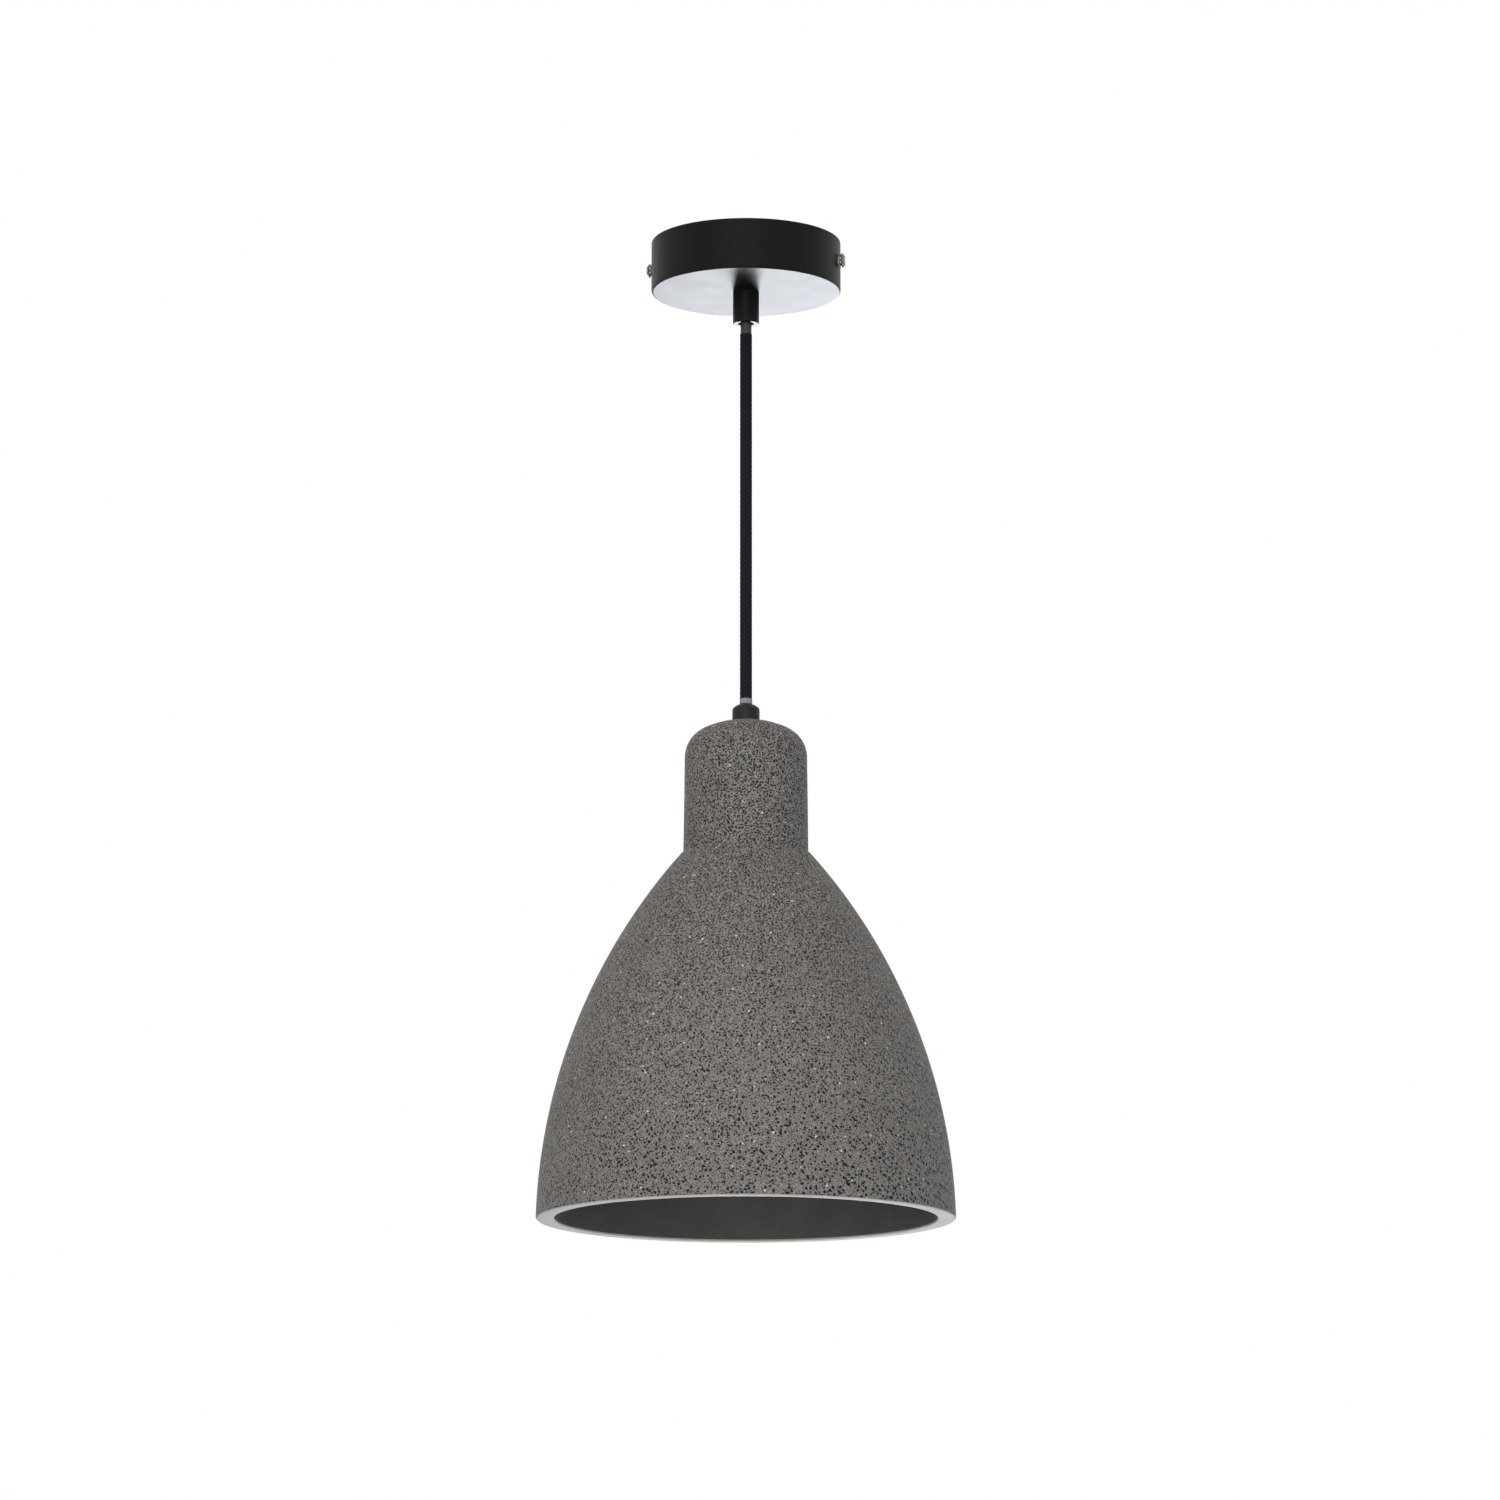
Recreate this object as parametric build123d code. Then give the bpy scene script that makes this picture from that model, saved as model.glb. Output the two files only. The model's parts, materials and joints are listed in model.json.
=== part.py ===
# A pendant ceiling light: a cast concrete bell on a braided cord under a round ceiling canopy.
# Millimetres, +Z up. The origin is on the light's axis in the ceiling plane, and all of it hangs below.
# X runs along the ceiling bracket, from one canopy screw to the other.
from build123d import *
import os
from math import acos, atan2, cos, hypot, pi, radians, sin, sqrt, tan

# Clearances
RUNNING_GAP = 0.15
FREE_GAP = 0.3
THREAD_GAP = 0.05

# Canopy
CANOPY_DIAMETER = 100.0
CANOPY_HEIGHT = 26.9
CANOPY_WALL = 1.0
CANOPY_EDGE_RADIUS = 1.2
CANOPY_LIP_RADIUS = 0.7

# Ceiling bracket
BRACKET_THICKNESS = 1.5
BRACKET_WIDTH = 16.0
BRACKET_BEND_RADIUS = 2.0
EAR_TO_CANOPY = 0.7
EAR_BELOW_SCREW = 5.0
SLOT_SPACING = 55.0
SLOT_LENGTH = 14.0
SLOT_WIDTH = 4.5
SUPPLY_HOLE_DIAMETER = 10.0
ARM_CORNER_RADIUS = 2.0
TERMINAL_ARM_WIDTH = 12.0
TERMINAL_ARM_REACH = 31.0
EARTH_ARM_WIDTH = 12.0
EARTH_ARM_REACH = 21.0

# Canopy screws, with a knurled head and a domed end
CANOPY_SCREW_DIAMETER = 4.0
CANOPY_SCREW_LENGTH = 8.5
CANOPY_SCREW_DROP = 12.3
SCREW_HEAD_DIAMETER = 7.7
SCREW_KNURL_LENGTH = 2.5
SCREW_DOME_HEIGHT = 1.3
SCREW_FLUTES = 24
SCREW_FLUTE_DIAMETER = 0.6
SCREW_RECESS_WIDTH = 0.9
SCREW_RECESS_LENGTH = 4.4
SCREW_RECESS_DEPTH = 1.6
BRACKET_NUT_WIDTH = 7.0
BRACKET_NUT_THICKNESS = 2.4

# Terminal block and earth terminal under the bracket
BLOCK_WIDTH = 17.0
BLOCK_HEIGHT = 13.0
BLOCK_CENTRE = 22.0
BLOCK_EDGE = 1.2
POLE_PITCH = 9.0
POLE_WALL = 1.6
POLE_DROP = 6.2
TUBE_DIAMETER = 5.2
TUBE_BORE = 3.4
TUBE_RECESS = 0.8
CLAMP_SCREW_DIAMETER = 2.8
CLAMP_SCREW_LENGTH = 4.4
CLAMP_SCREW_SPACING = 9.0
FIXING_SCREW_DIAMETER = 3.0
FIXING_HEAD_DIAMETER = 5.2
FIXING_HEAD_HEIGHT = 2.0
EARTH_SCREW_DIAMETER = 4.0
EARTH_HEAD_DIAMETER = 7.6
EARTH_HEAD_HEIGHT = 2.6
EARTH_WASHER_DIAMETER = 9.0
EARTH_WASHER_THICKNESS = 1.0
EARTH_FROM_AXIS = 15.5
SLOT_CUT_WIDTH = 0.7
SLOT_CUT_DEPTH = 0.8

# Cord
CORD_DIAMETER = 6.4
CORD_FREE_LENGTH = 205.5
SHEATH_DIAMETER = 5.8
SHEATH_SHOWN = 5.7
COLLAR_DIAMETER = 6.9
COLLAR_LENGTH = 2.7
COLLAR_ABOVE_GRIP = 0.8
CORE_DIAMETER = 2.1
CORE_SPACING = 2.6
COPPER_DIAMETER = 1.0
COPPER_LENGTH = 7.0
CORE_BEND_SHARE = 0.45

# Swivel in each cord grip's mouth: a soft ring in a ball-shaped seat
PIVOT_DEPTH = 1.6
MOUTH_LIP = 1.0
BUSH_WALL = 1.15
BUSH_FROM_AXIS = 38.0
BUSH_TO_AXIS = 62.0
UPPER_SWING = 20.0
LOWER_TILT = 15.0

# Cord grips on an M10 thread
GRIP_THREAD_DIAMETER = 10.0
UPPER_GRIP_DIAMETER = 13.8
UPPER_GRIP_LENGTH = 17.2
UPPER_GRIP_BEVEL = 0.4
PINCH_SCREW_DIAMETER = 3.0
PINCH_SCREW_SUNK = 0.3
TOOTH_WASHER_DIAMETER = 15.0
TOOTH_WASHER_THICKNESS = 0.8
LOCK_NUT_ACROSS = 14.0
LOCK_NUT_THICKNESS = 3.5
STUD_PAST_NUT = 1.0
TAIL_PAST_STUD = 2.0
LOWER_GRIP_DIAMETER = 14.3
LOWER_GRIP_HEIGHT = 10.2
LOWER_GRIP_CONE = 1.7
LOWER_GRIP_ROUND = 2.0
LOWER_GRIP_RIM = 0.45
GRIP_WEB = 0.65

# Shade
SHADE_HEIGHT = 261.25
SHADE_RIM_RADIUS = 108.1
SHADE_BELL_HEIGHT = 190.1
SHADE_CREASE_RADIUS = 34.0
SHADE_BELL_ARC = 301.3
SHADE_WALL = 9.5
SHADE_RIM_EDGE = 1.2
SHADE_RIM_INNER_EDGE = 0.8
NECK_FOOT_RADIUS = 32.6
NECK_HEAD_RADIUS = 31.9
NECK_DOME_RADIUS = 53.5
NECK_TOP_ROUND = 16.3
NECK_CREASE_ROUND = 1.0
NECK_WALL = 9.0
SHADE_TOP_WALL = 10.0
GRIP_RECESS_GAP = 0.85
GRIP_RECESS_DEPTH = 3.1
GRIP_RECESS_EDGE = 0.6

# Clamping of the shade on the nipple
GASKET_DIAMETER = 14.0
GASKET_THICKNESS = 0.8
FIBRE_WASHER_DIAMETER = 30.0
FIBRE_WASHER_THICKNESS = 1.2
STEEL_WASHER_DIAMETER = 24.0
STEEL_WASHER_THICKNESS = 1.5
NIPPLE_BORE = 6.6
NIPPLE_PAST_NUT = 1.0

# Lampholder for an E27 lamp
HUB_DIAMETER = 17.0
HUB_DEPTH = 9.0
HUB_FLOOR = 1.5
HOLDER_CAP_DIAMETER = 39.0
HOLDER_DOME_HEIGHT = 10.0
HOLDER_SKIRT = 7.0
HOLDER_WALL = 1.8
HOLDER_BODY_HEIGHT = 32.0
HOLDER_SPIGOT = 5.0
HOLDER_LEDGE = 1.6
HOLDER_LEDGE_HEIGHT = 2.0
HOLDER_LEDGE_DROP = 6.5
CARRIER_THICKNESS = 8.0
SHELL_WALL = 0.4
SHELL_FLANGE = 0.6
CONTACT_BUTTON_DIAMETER = 8.0
CONTACT_BUTTON_THICKNESS = 0.8
CONTACT_STEM_DIAMETER = 3.0
HOLDER_TERMINAL_SIZE = 5.0
HOLDER_TERMINAL_FROM_AXIS = 8.5
HOLDER_SCREW_DIAMETER = 2.5
HOLDER_SCREW_HEAD = 4.0
HOLDER_SCREW_HEAD_HEIGHT = 1.4

# Lamp
THREAD_RADIUS = 12.7
THREAD_DEPTH = 0.5
THREAD_PITCH = 3.6
THREAD_TURNS = 5
LAMP_LENGTH = 104.0
LAMP_DIAMETER = 60.0
LAMP_GLASS = 0.7
LAMP_NECK_SHOWN = 1.7
LAMP_CAP_WALL = 0.6
LAMP_CAP_SKIRT = 4.5
LAMP_NECK_IN_CAP = 6.0
LAMP_INSULATOR_HEIGHT = 3.0
LAMP_CONTACT_DIAMETER = 9.6
LAMP_CONTACT_HEIGHT = 1.2
STEM_FLARE = 6.0
STEM_DIAMETER = 4.4
STEM_REACH = 54.0
FILAMENT_COUNT = 4
FILAMENT_DIAMETER = 1.8
FILAMENT_TOP_RADIUS = 6.5
FILAMENT_FOOT_RADIUS = 9.5
FILAMENT_TOP = 18.0
FILAMENT_LENGTH = 32.0
LEAD_DIAMETER = 0.7

# Heights down the axis, each from the piece that carries it
canopy_radius = CANOPY_DIAMETER / 2
canopy_inside = canopy_radius - CANOPY_WALL
canopy_foot = -CANOPY_HEIGHT
canopy_floor = canopy_foot + CANOPY_WALL
upper_mouth = canopy_foot - UPPER_GRIP_LENGTH
upper_pivot = upper_mouth + PIVOT_DEPTH
braid_top = upper_mouth - SHEATH_SHOWN
lower_mouth = upper_mouth - CORD_FREE_LENGTH
lower_pivot = lower_mouth - PIVOT_DEPTH
collar_foot = lower_mouth + COLLAR_ABOVE_GRIP
braid_foot = collar_foot + COLLAR_LENGTH
lower_grip_foot = lower_mouth - LOWER_GRIP_HEIGHT
shade_seat = lower_grip_foot - GASKET_THICKNESS
shade_crown = shade_seat + GRIP_RECESS_DEPTH
shade_rim = shade_crown - SHADE_HEIGHT
shade_crease = shade_rim + SHADE_BELL_HEIGHT
shade_ceiling = shade_seat - SHADE_TOP_WALL
fibre_foot = shade_ceiling - FIBRE_WASHER_THICKNESS
steel_foot = fibre_foot - STEEL_WASHER_THICKNESS
lock_nut_foot = steel_foot - LOCK_NUT_THICKNESS
holder_top = lock_nut_foot - NIPPLE_PAST_NUT
hub_floor = holder_top - HUB_DEPTH
dome_top = hub_floor - HUB_FLOOR
skirt_top = dome_top - HOLDER_DOME_HEIGHT
skirt_foot = skirt_top - HOLDER_SKIRT
body_foot = skirt_foot - HOLDER_BODY_HEIGHT
ledge_top = skirt_foot - HOLDER_LEDGE_DROP
carrier_top = ledge_top + CARRIER_THICKNESS
button_foot = ledge_top - CONTACT_BUTTON_THICKNESS
lamp_top = button_foot - RUNNING_GAP
lamp_foot = lamp_top - LAMP_LENGTH
insulator_top = lamp_top - LAMP_CONTACT_HEIGHT
thread_top = insulator_top - LAMP_INSULATOR_HEIGHT
thread_foot = thread_top - THREAD_TURNS * THREAD_PITCH
lamp_cap_foot = thread_foot - LAMP_CAP_SKIRT
neck_top = lamp_cap_foot + LAMP_NECK_IN_CAP
stem_foot = neck_top - STEM_REACH

# Radii that fit one another
sheath_radius = SHEATH_DIAMETER / 2
sheath_bore = sheath_radius + FREE_GAP
bush_bore = sheath_radius + RUNNING_GAP
bush_radius = bush_bore + BUSH_WALL
seat_radius = bush_radius + RUNNING_GAP
stud_radius = GRIP_THREAD_DIAMETER / 2
stud_bore = stud_radius + THREAD_GAP
stud_hole = stud_radius + FREE_GAP
canopy_screw_radius = CANOPY_SCREW_DIAMETER / 2
cap_radius = HOLDER_CAP_DIAMETER / 2
cap_bore = cap_radius - HOLDER_WALL
spigot_radius = cap_bore - THREAD_GAP
body_bore = spigot_radius - HOLDER_WALL
ledge_bore = body_bore - HOLDER_LEDGE
shell_bore = THREAD_RADIUS + FREE_GAP
shell_radius = shell_bore + THREAD_DEPTH + SHELL_WALL
lamp_cap_bore = THREAD_RADIUS - THREAD_DEPTH - LAMP_CAP_WALL
lamp_neck_radius = lamp_cap_bore - FREE_GAP
earth_head_top = -BRACKET_THICKNESS - EARTH_WASHER_THICKNESS
block_foot = -BRACKET_THICKNESS - BLOCK_HEIGHT
pole_height = -BRACKET_THICKNESS - POLE_DROP
block_face = BLOCK_CENTRE - BLOCK_WIDTH / 2
stud_top = canopy_floor + TOOTH_WASHER_THICKNESS + LOCK_NUT_THICKNESS + STUD_PAST_NUT
tail_top = stud_top + TAIL_PAST_STUD


# Shapes that many pieces share

def disc(radius, bottom, top):
    """A round bar on the axis between two heights."""
    standing = (Align.CENTER, Align.CENTER, Align.MIN)
    return Pos(0, 0, bottom) * Cylinder(radius, top - bottom, align=standing)


def ring(outer, inner, bottom, top):
    """A round tube on the axis between two heights."""
    return disc(outer, bottom, top) - disc(inner, bottom, top)


def hex_nut(across, bore, bottom, top):
    """A six-sided nut on the axis."""
    outline = RegularPolygon(across / 2, 6, major_radius=False) - Circle(bore)
    return Pos(0, 0, bottom) * extrude(outline, top - bottom)


def turned(outline, rounds=()):
    """A solid turned about the axis from a closed outline of (radius, height), with corners rounded."""
    face = make_face(outline)
    for corner, radius in rounds:
        face = fillet(face.vertices().sort_by_distance(corner)[0], radius)
    return revolve(Plane.XZ * face, Axis.Z)


def turned_corners(*corners, rounds=()):
    """A turned solid whose outline is straight from corner to corner."""
    return turned(Polyline(*corners, close=True).edges(), rounds)


def arc_about(centre, start, end):
    """The shorter arc about a centre from start to end, both of them on the same circle."""
    first = atan2(start[1] - centre[1], start[0] - centre[0])
    last = atan2(end[1] - centre[1], end[0] - centre[0])
    radius = hypot(start[0] - centre[0], start[1] - centre[1])
    middle = first + ((last - first + pi) % (2 * pi) - pi) / 2
    return ThreePointArc(start, (centre[0] + radius * cos(middle), centre[1] + radius * sin(middle)), end)


def radial(shape, height, azimuth):
    """Lays a shape made along +Z out from the axis at a height, towards an azimuth in degrees."""
    return Pos(0, 0, height) * Rot(0, 0, azimuth) * Rot(0, 90, 0) * shape


def wire(points, bends, diameter):
    """A round wire along straight runs joined by tangent bends."""
    path = FilletPolyline(*points, radius=bends)
    return sweep(Plane(origin=path @ 0, z_dir=path % 0) * Circle(diameter / 2), path)


def slotted(diameter, bottom, top, slot_at_top):
    """A plain screw on the axis with a driver slot in one end."""
    end = top if slot_at_top else bottom
    slot = Box(diameter, SLOT_CUT_WIDTH, 2 * SLOT_CUT_DEPTH)
    return disc(diameter / 2, bottom, top) - Pos(0, 0, end) * slot


# Ceiling bracket and its terminals

def ear_face():
    """Distance from the axis to the outer face of an ear, whose corners clear the round canopy."""
    return sqrt((canopy_inside - EAR_TO_CANOPY) ** 2 - (BRACKET_WIDTH / 2) ** 2)


def arm(width, reach, side):
    """A flat arm of the bracket towards +Y or -Y with its outer corners rounded."""
    start = BRACKET_WIDTH / 2
    plate = Pos(0, side * (start + reach) / 2, 0) * Rectangle(width, reach - start)
    outer = plate.vertices().sort_by(Axis.Y)[-2:] if side > 0 else plate.vertices().sort_by(Axis.Y)[:2]
    return Pos(0, 0, -BRACKET_THICKNESS) * extrude(fillet(outer, ARM_CORNER_RADIUS), BRACKET_THICKNESS)


def ceiling_bracket():
    """A bent steel strap with ears for the canopy screws, slots for the ceiling screws and two arms."""
    face = ear_face()
    inner = face - BRACKET_THICKNESS
    foot = -CANOPY_SCREW_DROP - EAR_BELOW_SCREW
    outline = make_face(
        Polyline(
            (-face, foot), (-face, 0), (face, 0), (face, foot),
            (inner, foot), (inner, -BRACKET_THICKNESS), (-inner, -BRACKET_THICKNESS), (-inner, foot),
            close=True,
        ).edges()
    )
    for side in (-1, 1):
        outline = fillet(outline.vertices().sort_by_distance((side * face, 0))[0], BRACKET_BEND_RADIUS)
    strap = extrude(Plane.XZ * outline, BRACKET_WIDTH / 2, both=True)
    strap += arm(TERMINAL_ARM_WIDTH, TERMINAL_ARM_REACH, 1)
    strap += arm(EARTH_ARM_WIDTH, EARTH_ARM_REACH, -1)
    for side in (-1, 1):
        slot = Pos(side * SLOT_SPACING / 2, 0) * SlotOverall(SLOT_LENGTH, SLOT_WIDTH)
        strap -= extrude(slot, BRACKET_THICKNESS, both=True)
    strap -= disc(SUPPLY_HOLE_DIAMETER / 2, -BRACKET_THICKNESS, 0)
    for y, diameter in ((BLOCK_CENTRE, FIXING_SCREW_DIAMETER), (-EARTH_FROM_AXIS, EARTH_SCREW_DIAMETER)):
        strap -= Pos(0, y, 0) * disc(diameter / 2 + THREAD_GAP, -BRACKET_THICKNESS, 0)
    for azimuth in (0, 180):
        strap -= radial(disc(canopy_screw_radius + RUNNING_GAP, inner, face), -CANOPY_SCREW_DROP, azimuth)
    return strap


def bracket_nuts():
    """Square nuts welded inside the ears, one for each canopy screw."""
    outer = ear_face() - BRACKET_THICKNESS
    plate = Rectangle(BRACKET_NUT_WIDTH, BRACKET_NUT_WIDTH) - Circle(canopy_screw_radius + RUNNING_GAP)
    nut = Pos(0, 0, outer - BRACKET_NUT_THICKNESS) * extrude(plate, BRACKET_NUT_THICKNESS)
    return Compound([radial(nut, -CANOPY_SCREW_DROP, azimuth) for azimuth in (0, 180)])


def pole_places():
    """Where the two poles of the terminal block stand along X."""
    return (-POLE_PITCH / 2, POLE_PITCH / 2)


def clamp_places():
    """Where the clamping screws stand, two for each pole."""
    half = CLAMP_SCREW_SPACING / 2
    return [(x, BLOCK_CENTRE + y) for x in pole_places() for y in (-half, half)]


def along_y(radius, start, length, x, height):
    """A round bar along +Y."""
    return Pos(x, start, height) * Rot(-90, 0, 0) * disc(radius, 0, length)


def terminal_block():
    """The moulded two-pole housing, bored for its tubes and screws."""
    length = POLE_PITCH + TUBE_DIAMETER + 2 * POLE_WALL
    outline = fillet(Rectangle(length, BLOCK_WIDTH).vertices(), BLOCK_EDGE)
    housing = Pos(0, BLOCK_CENTRE, block_foot) * extrude(outline, BLOCK_HEIGHT)
    for x in pole_places():
        housing -= along_y(TUBE_DIAMETER / 2 + THREAD_GAP, block_face, BLOCK_WIDTH, x, pole_height)
    for x, y in clamp_places():
        housing -= Pos(x, y, 0) * disc(CLAMP_SCREW_DIAMETER / 2 + RUNNING_GAP, block_foot, pole_height)
    fixing = disc(FIXING_SCREW_DIAMETER / 2 + THREAD_GAP, block_foot, -BRACKET_THICKNESS)
    fixing += disc(FIXING_HEAD_DIAMETER / 2 + RUNNING_GAP, block_foot, block_foot + FIXING_HEAD_HEIGHT)
    return housing - Pos(0, BLOCK_CENTRE, 0) * fixing


def clamp_screw():
    """One slotted clamping screw, whose end presses on the copper in the tube."""
    tip = pole_height - COPPER_DIAMETER / 2 - THREAD_GAP
    return slotted(CLAMP_SCREW_DIAMETER, tip - CLAMP_SCREW_LENGTH, tip, False)


def terminal_tubes():
    """The brass tubes that join the supply to the cord, one for each pole."""
    tubes = []
    for x in pole_places():
        start = block_face + TUBE_RECESS
        length = BLOCK_WIDTH - 2 * TUBE_RECESS
        tube = along_y(TUBE_DIAMETER / 2, start, length, x, pole_height)
        tube -= along_y(TUBE_BORE / 2, start, length, x, pole_height)
        for place_x, y in clamp_places():
            if place_x == x:
                radius = CLAMP_SCREW_DIAMETER / 2 + THREAD_GAP
                tube -= Pos(x, y, 0) * disc(radius, pole_height - TUBE_DIAMETER, pole_height)
        tubes.append(tube)
    return Compound(tubes)


def terminal_screws():
    """The four clamping screws of the terminal block."""
    return Compound([Pos(x, y, 0) * clamp_screw() for x, y in clamp_places()])


def terminal_fixing_screw():
    """The screw that holds the terminal block up to the bracket's arm."""
    screw = disc(FIXING_SCREW_DIAMETER / 2, block_foot, 0)
    screw += disc(FIXING_HEAD_DIAMETER / 2, block_foot, block_foot + FIXING_HEAD_HEIGHT)
    screw -= Pos(0, 0, block_foot) * Box(FIXING_HEAD_DIAMETER, SLOT_CUT_WIDTH, 2 * SLOT_CUT_DEPTH)
    return Pos(0, BLOCK_CENTRE, 0) * screw


def earth_screw():
    """The earth screw in the bracket's short arm."""
    screw = disc(EARTH_SCREW_DIAMETER / 2, earth_head_top, 0)
    screw += disc(EARTH_HEAD_DIAMETER / 2, earth_head_top - EARTH_HEAD_HEIGHT, earth_head_top)
    foot = Pos(0, 0, earth_head_top - EARTH_HEAD_HEIGHT)
    screw -= foot * Box(EARTH_HEAD_DIAMETER, SLOT_CUT_WIDTH, 2 * SLOT_CUT_DEPTH)
    screw -= foot * Box(SLOT_CUT_WIDTH, EARTH_HEAD_DIAMETER, 2 * SLOT_CUT_DEPTH)
    return Pos(0, -EARTH_FROM_AXIS, 0) * screw


def earth_washer():
    """The washer that clamps the earth wire."""
    bore = EARTH_SCREW_DIAMETER / 2 + RUNNING_GAP
    washer = ring(EARTH_WASHER_DIAMETER / 2, bore, earth_head_top, -BRACKET_THICKNESS)
    return Pos(0, -EARTH_FROM_AXIS, 0) * washer


# Canopy and its screws

def canopy_cup():
    """The round cup that covers the wiring, with holes for the grip and the two side screws."""
    cup = turned_corners(
        (stud_hole, canopy_foot), (canopy_radius, canopy_foot), (canopy_radius, 0),
        (canopy_inside, 0), (canopy_inside, canopy_floor), (stud_hole, canopy_floor),
        rounds=[
            ((canopy_radius, canopy_foot), CANOPY_EDGE_RADIUS),
            ((canopy_radius, 0), CANOPY_LIP_RADIUS),
        ],
    )
    side_hole = Rot(0, 90, 0) * Cylinder(canopy_screw_radius + FREE_GAP, CANOPY_DIAMETER)
    return cup - Pos(0, 0, -CANOPY_SCREW_DROP) * side_hole


def canopy_screw(azimuth):
    """A canopy screw with a fluted head, a domed end and a cross recess."""
    seat = canopy_radius + RUNNING_GAP
    dome_start = seat + SCREW_KNURL_LENGTH
    dome_end = dome_start + SCREW_DOME_HEIGHT
    radius = SCREW_HEAD_DIAMETER / 2
    shank_end = seat - CANOPY_SCREW_LENGTH
    dome_radius = (radius**2 + SCREW_DOME_HEIGHT**2) / (2 * SCREW_DOME_HEIGHT)
    side = Polyline(
        (0, dome_end), (0, shank_end), (canopy_screw_radius, shank_end),
        (canopy_screw_radius, seat), (radius, seat), (radius, dome_start),
    )
    dome = arc_about((0, dome_end - dome_radius), (radius, dome_start), (0, dome_end))
    screw = turned([*side.edges(), dome])
    flute = disc(SCREW_FLUTE_DIAMETER / 2, seat, dome_start)
    screw -= [place * flute for place in PolarLocations(radius, SCREW_FLUTES)]
    recess = Box(SCREW_RECESS_LENGTH, SCREW_RECESS_WIDTH, SCREW_RECESS_DEPTH)
    recess += Box(SCREW_RECESS_WIDTH, SCREW_RECESS_LENGTH, SCREW_RECESS_DEPTH)
    screw -= Pos(0, 0, dome_end) * recess
    return radial(screw, -CANOPY_SCREW_DROP, azimuth)


# Swivel mouths of the cord grips

def full_lean(angle):
    """The lean of the cord with both of its swings at one angle."""
    return acos(cos(radians(angle)) ** 2)


def mouth_radius(radius, depth, angle):
    """Radius of the mouth at a depth from the pivot that lets a round cord lean freely."""
    lean = full_lean(angle)
    return radius / cos(lean) + depth * tan(lean) + RUNNING_GAP


def lip_radius(radius, angle):
    """Radius of the mouth at the inner side of its lip."""
    return mouth_radius(radius, PIVOT_DEPTH - MOUTH_LIP, angle)


def opening_radius(radius, angle):
    """Radius of the mouth at the grip's end."""
    return mouth_radius(radius, PIVOT_DEPTH, angle)


def seat_outline(pivot, inward, radius, angle):
    """Edges of the inside of a mouth, from the cord's bore through the ball seat and the lip to the end.

    inward is 1 where the grip is above its mouth and -1 where it is below.
    """
    lip_depth = PIVOT_DEPTH - MOUTH_LIP
    bore_end = (sheath_bore, pivot + inward * sqrt(seat_radius**2 - sheath_bore**2))
    widest = (seat_radius, pivot)
    lip_back = (sqrt(seat_radius**2 - lip_depth**2), pivot - inward * lip_depth)
    lip_edge = (lip_radius(radius, angle), pivot - inward * lip_depth)
    end = (opening_radius(radius, angle), pivot - inward * PIVOT_DEPTH)
    arcs = [arc_about((0, pivot), bore_end, widest), arc_about((0, pivot), widest, lip_back)]
    return bore_end, end, [*arcs, *Polyline(lip_back, lip_edge, end).edges()]


def cord_bush(pivot, inward):
    """The soft ring that the cord's end turns in."""
    corners = []
    for radius in (bush_bore, bush_radius):
        for angle in (BUSH_FROM_AXIS, BUSH_TO_AXIS):
            turn = radians(angle)
            corners.append((radius * sin(turn), pivot + inward * radius * cos(turn)))
    inner_near, inner_far, outer_near, outer_far = corners
    return turned(
        [
            arc_about((0, pivot), inner_near, inner_far),
            Line(inner_far, outer_far),
            arc_about((0, pivot), outer_far, outer_near),
            Line(outer_near, inner_near),
        ]
    )


# Upper cord grip

def upper_grip_body():
    """The turned grip under the canopy, with its stud through the canopy's floor."""
    radius = UPPER_GRIP_DIAMETER / 2
    bore_end, mouth_end, mouth = seat_outline(upper_pivot, 1, sheath_radius, UPPER_SWING)
    outside = Polyline(
        mouth_end, (radius - UPPER_GRIP_BEVEL, upper_mouth), (radius, upper_mouth + UPPER_GRIP_BEVEL),
        (radius, canopy_foot), (stud_radius, canopy_foot), (stud_radius, stud_top),
        (sheath_bore, stud_top), bore_end,
    )
    body = turned([*mouth, *outside.edges()])
    hole = disc(PINCH_SCREW_DIAMETER / 2 + THREAD_GAP, sheath_radius, radius)
    return body - radial(hole, pinch_height(), 90)


def pinch_height():
    """Height of the pinch screw, halfway up the plain part of the upper grip."""
    return (canopy_foot + upper_pivot + seat_radius) / 2


def upper_grip_pinch_screw():
    """The slotted set screw that clamps the cord in the grip."""
    outer = UPPER_GRIP_DIAMETER / 2 - PINCH_SCREW_SUNK
    screw = slotted(PINCH_SCREW_DIAMETER, sheath_radius + THREAD_GAP, outer, True)
    return radial(screw, pinch_height(), 90)


def upper_grip_washer():
    """The washer on the canopy's floor."""
    return ring(TOOTH_WASHER_DIAMETER / 2, stud_bore, canopy_floor, canopy_floor + TOOTH_WASHER_THICKNESS)


def upper_grip_nut():
    """The nut that holds the grip in the canopy."""
    foot = canopy_floor + TOOTH_WASHER_THICKNESS
    return hex_nut(LOCK_NUT_ACROSS, stud_bore, foot, foot + LOCK_NUT_THICKNESS)


# Cord

def sheath_tail_upper():
    """The cord's inner sheath through the upper grip to where its cores part."""
    return disc(sheath_radius, upper_pivot + seat_radius, tail_top)


def rounded_sheath(pivot, end):
    """A length of inner sheath with a ball end at the pivot."""
    length = disc(sheath_radius, min(pivot, end), max(pivot, end))
    return length + Pos(0, 0, pivot) * Sphere(sheath_radius)


def inner_sheath_top():
    """The short length of bare sheath under the upper grip."""
    return rounded_sheath(upper_pivot, braid_top)


def cord_braid():
    """The free braided cord, straight under the shade's weight."""
    return disc(CORD_DIAMETER / 2, braid_foot, braid_top)


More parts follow.
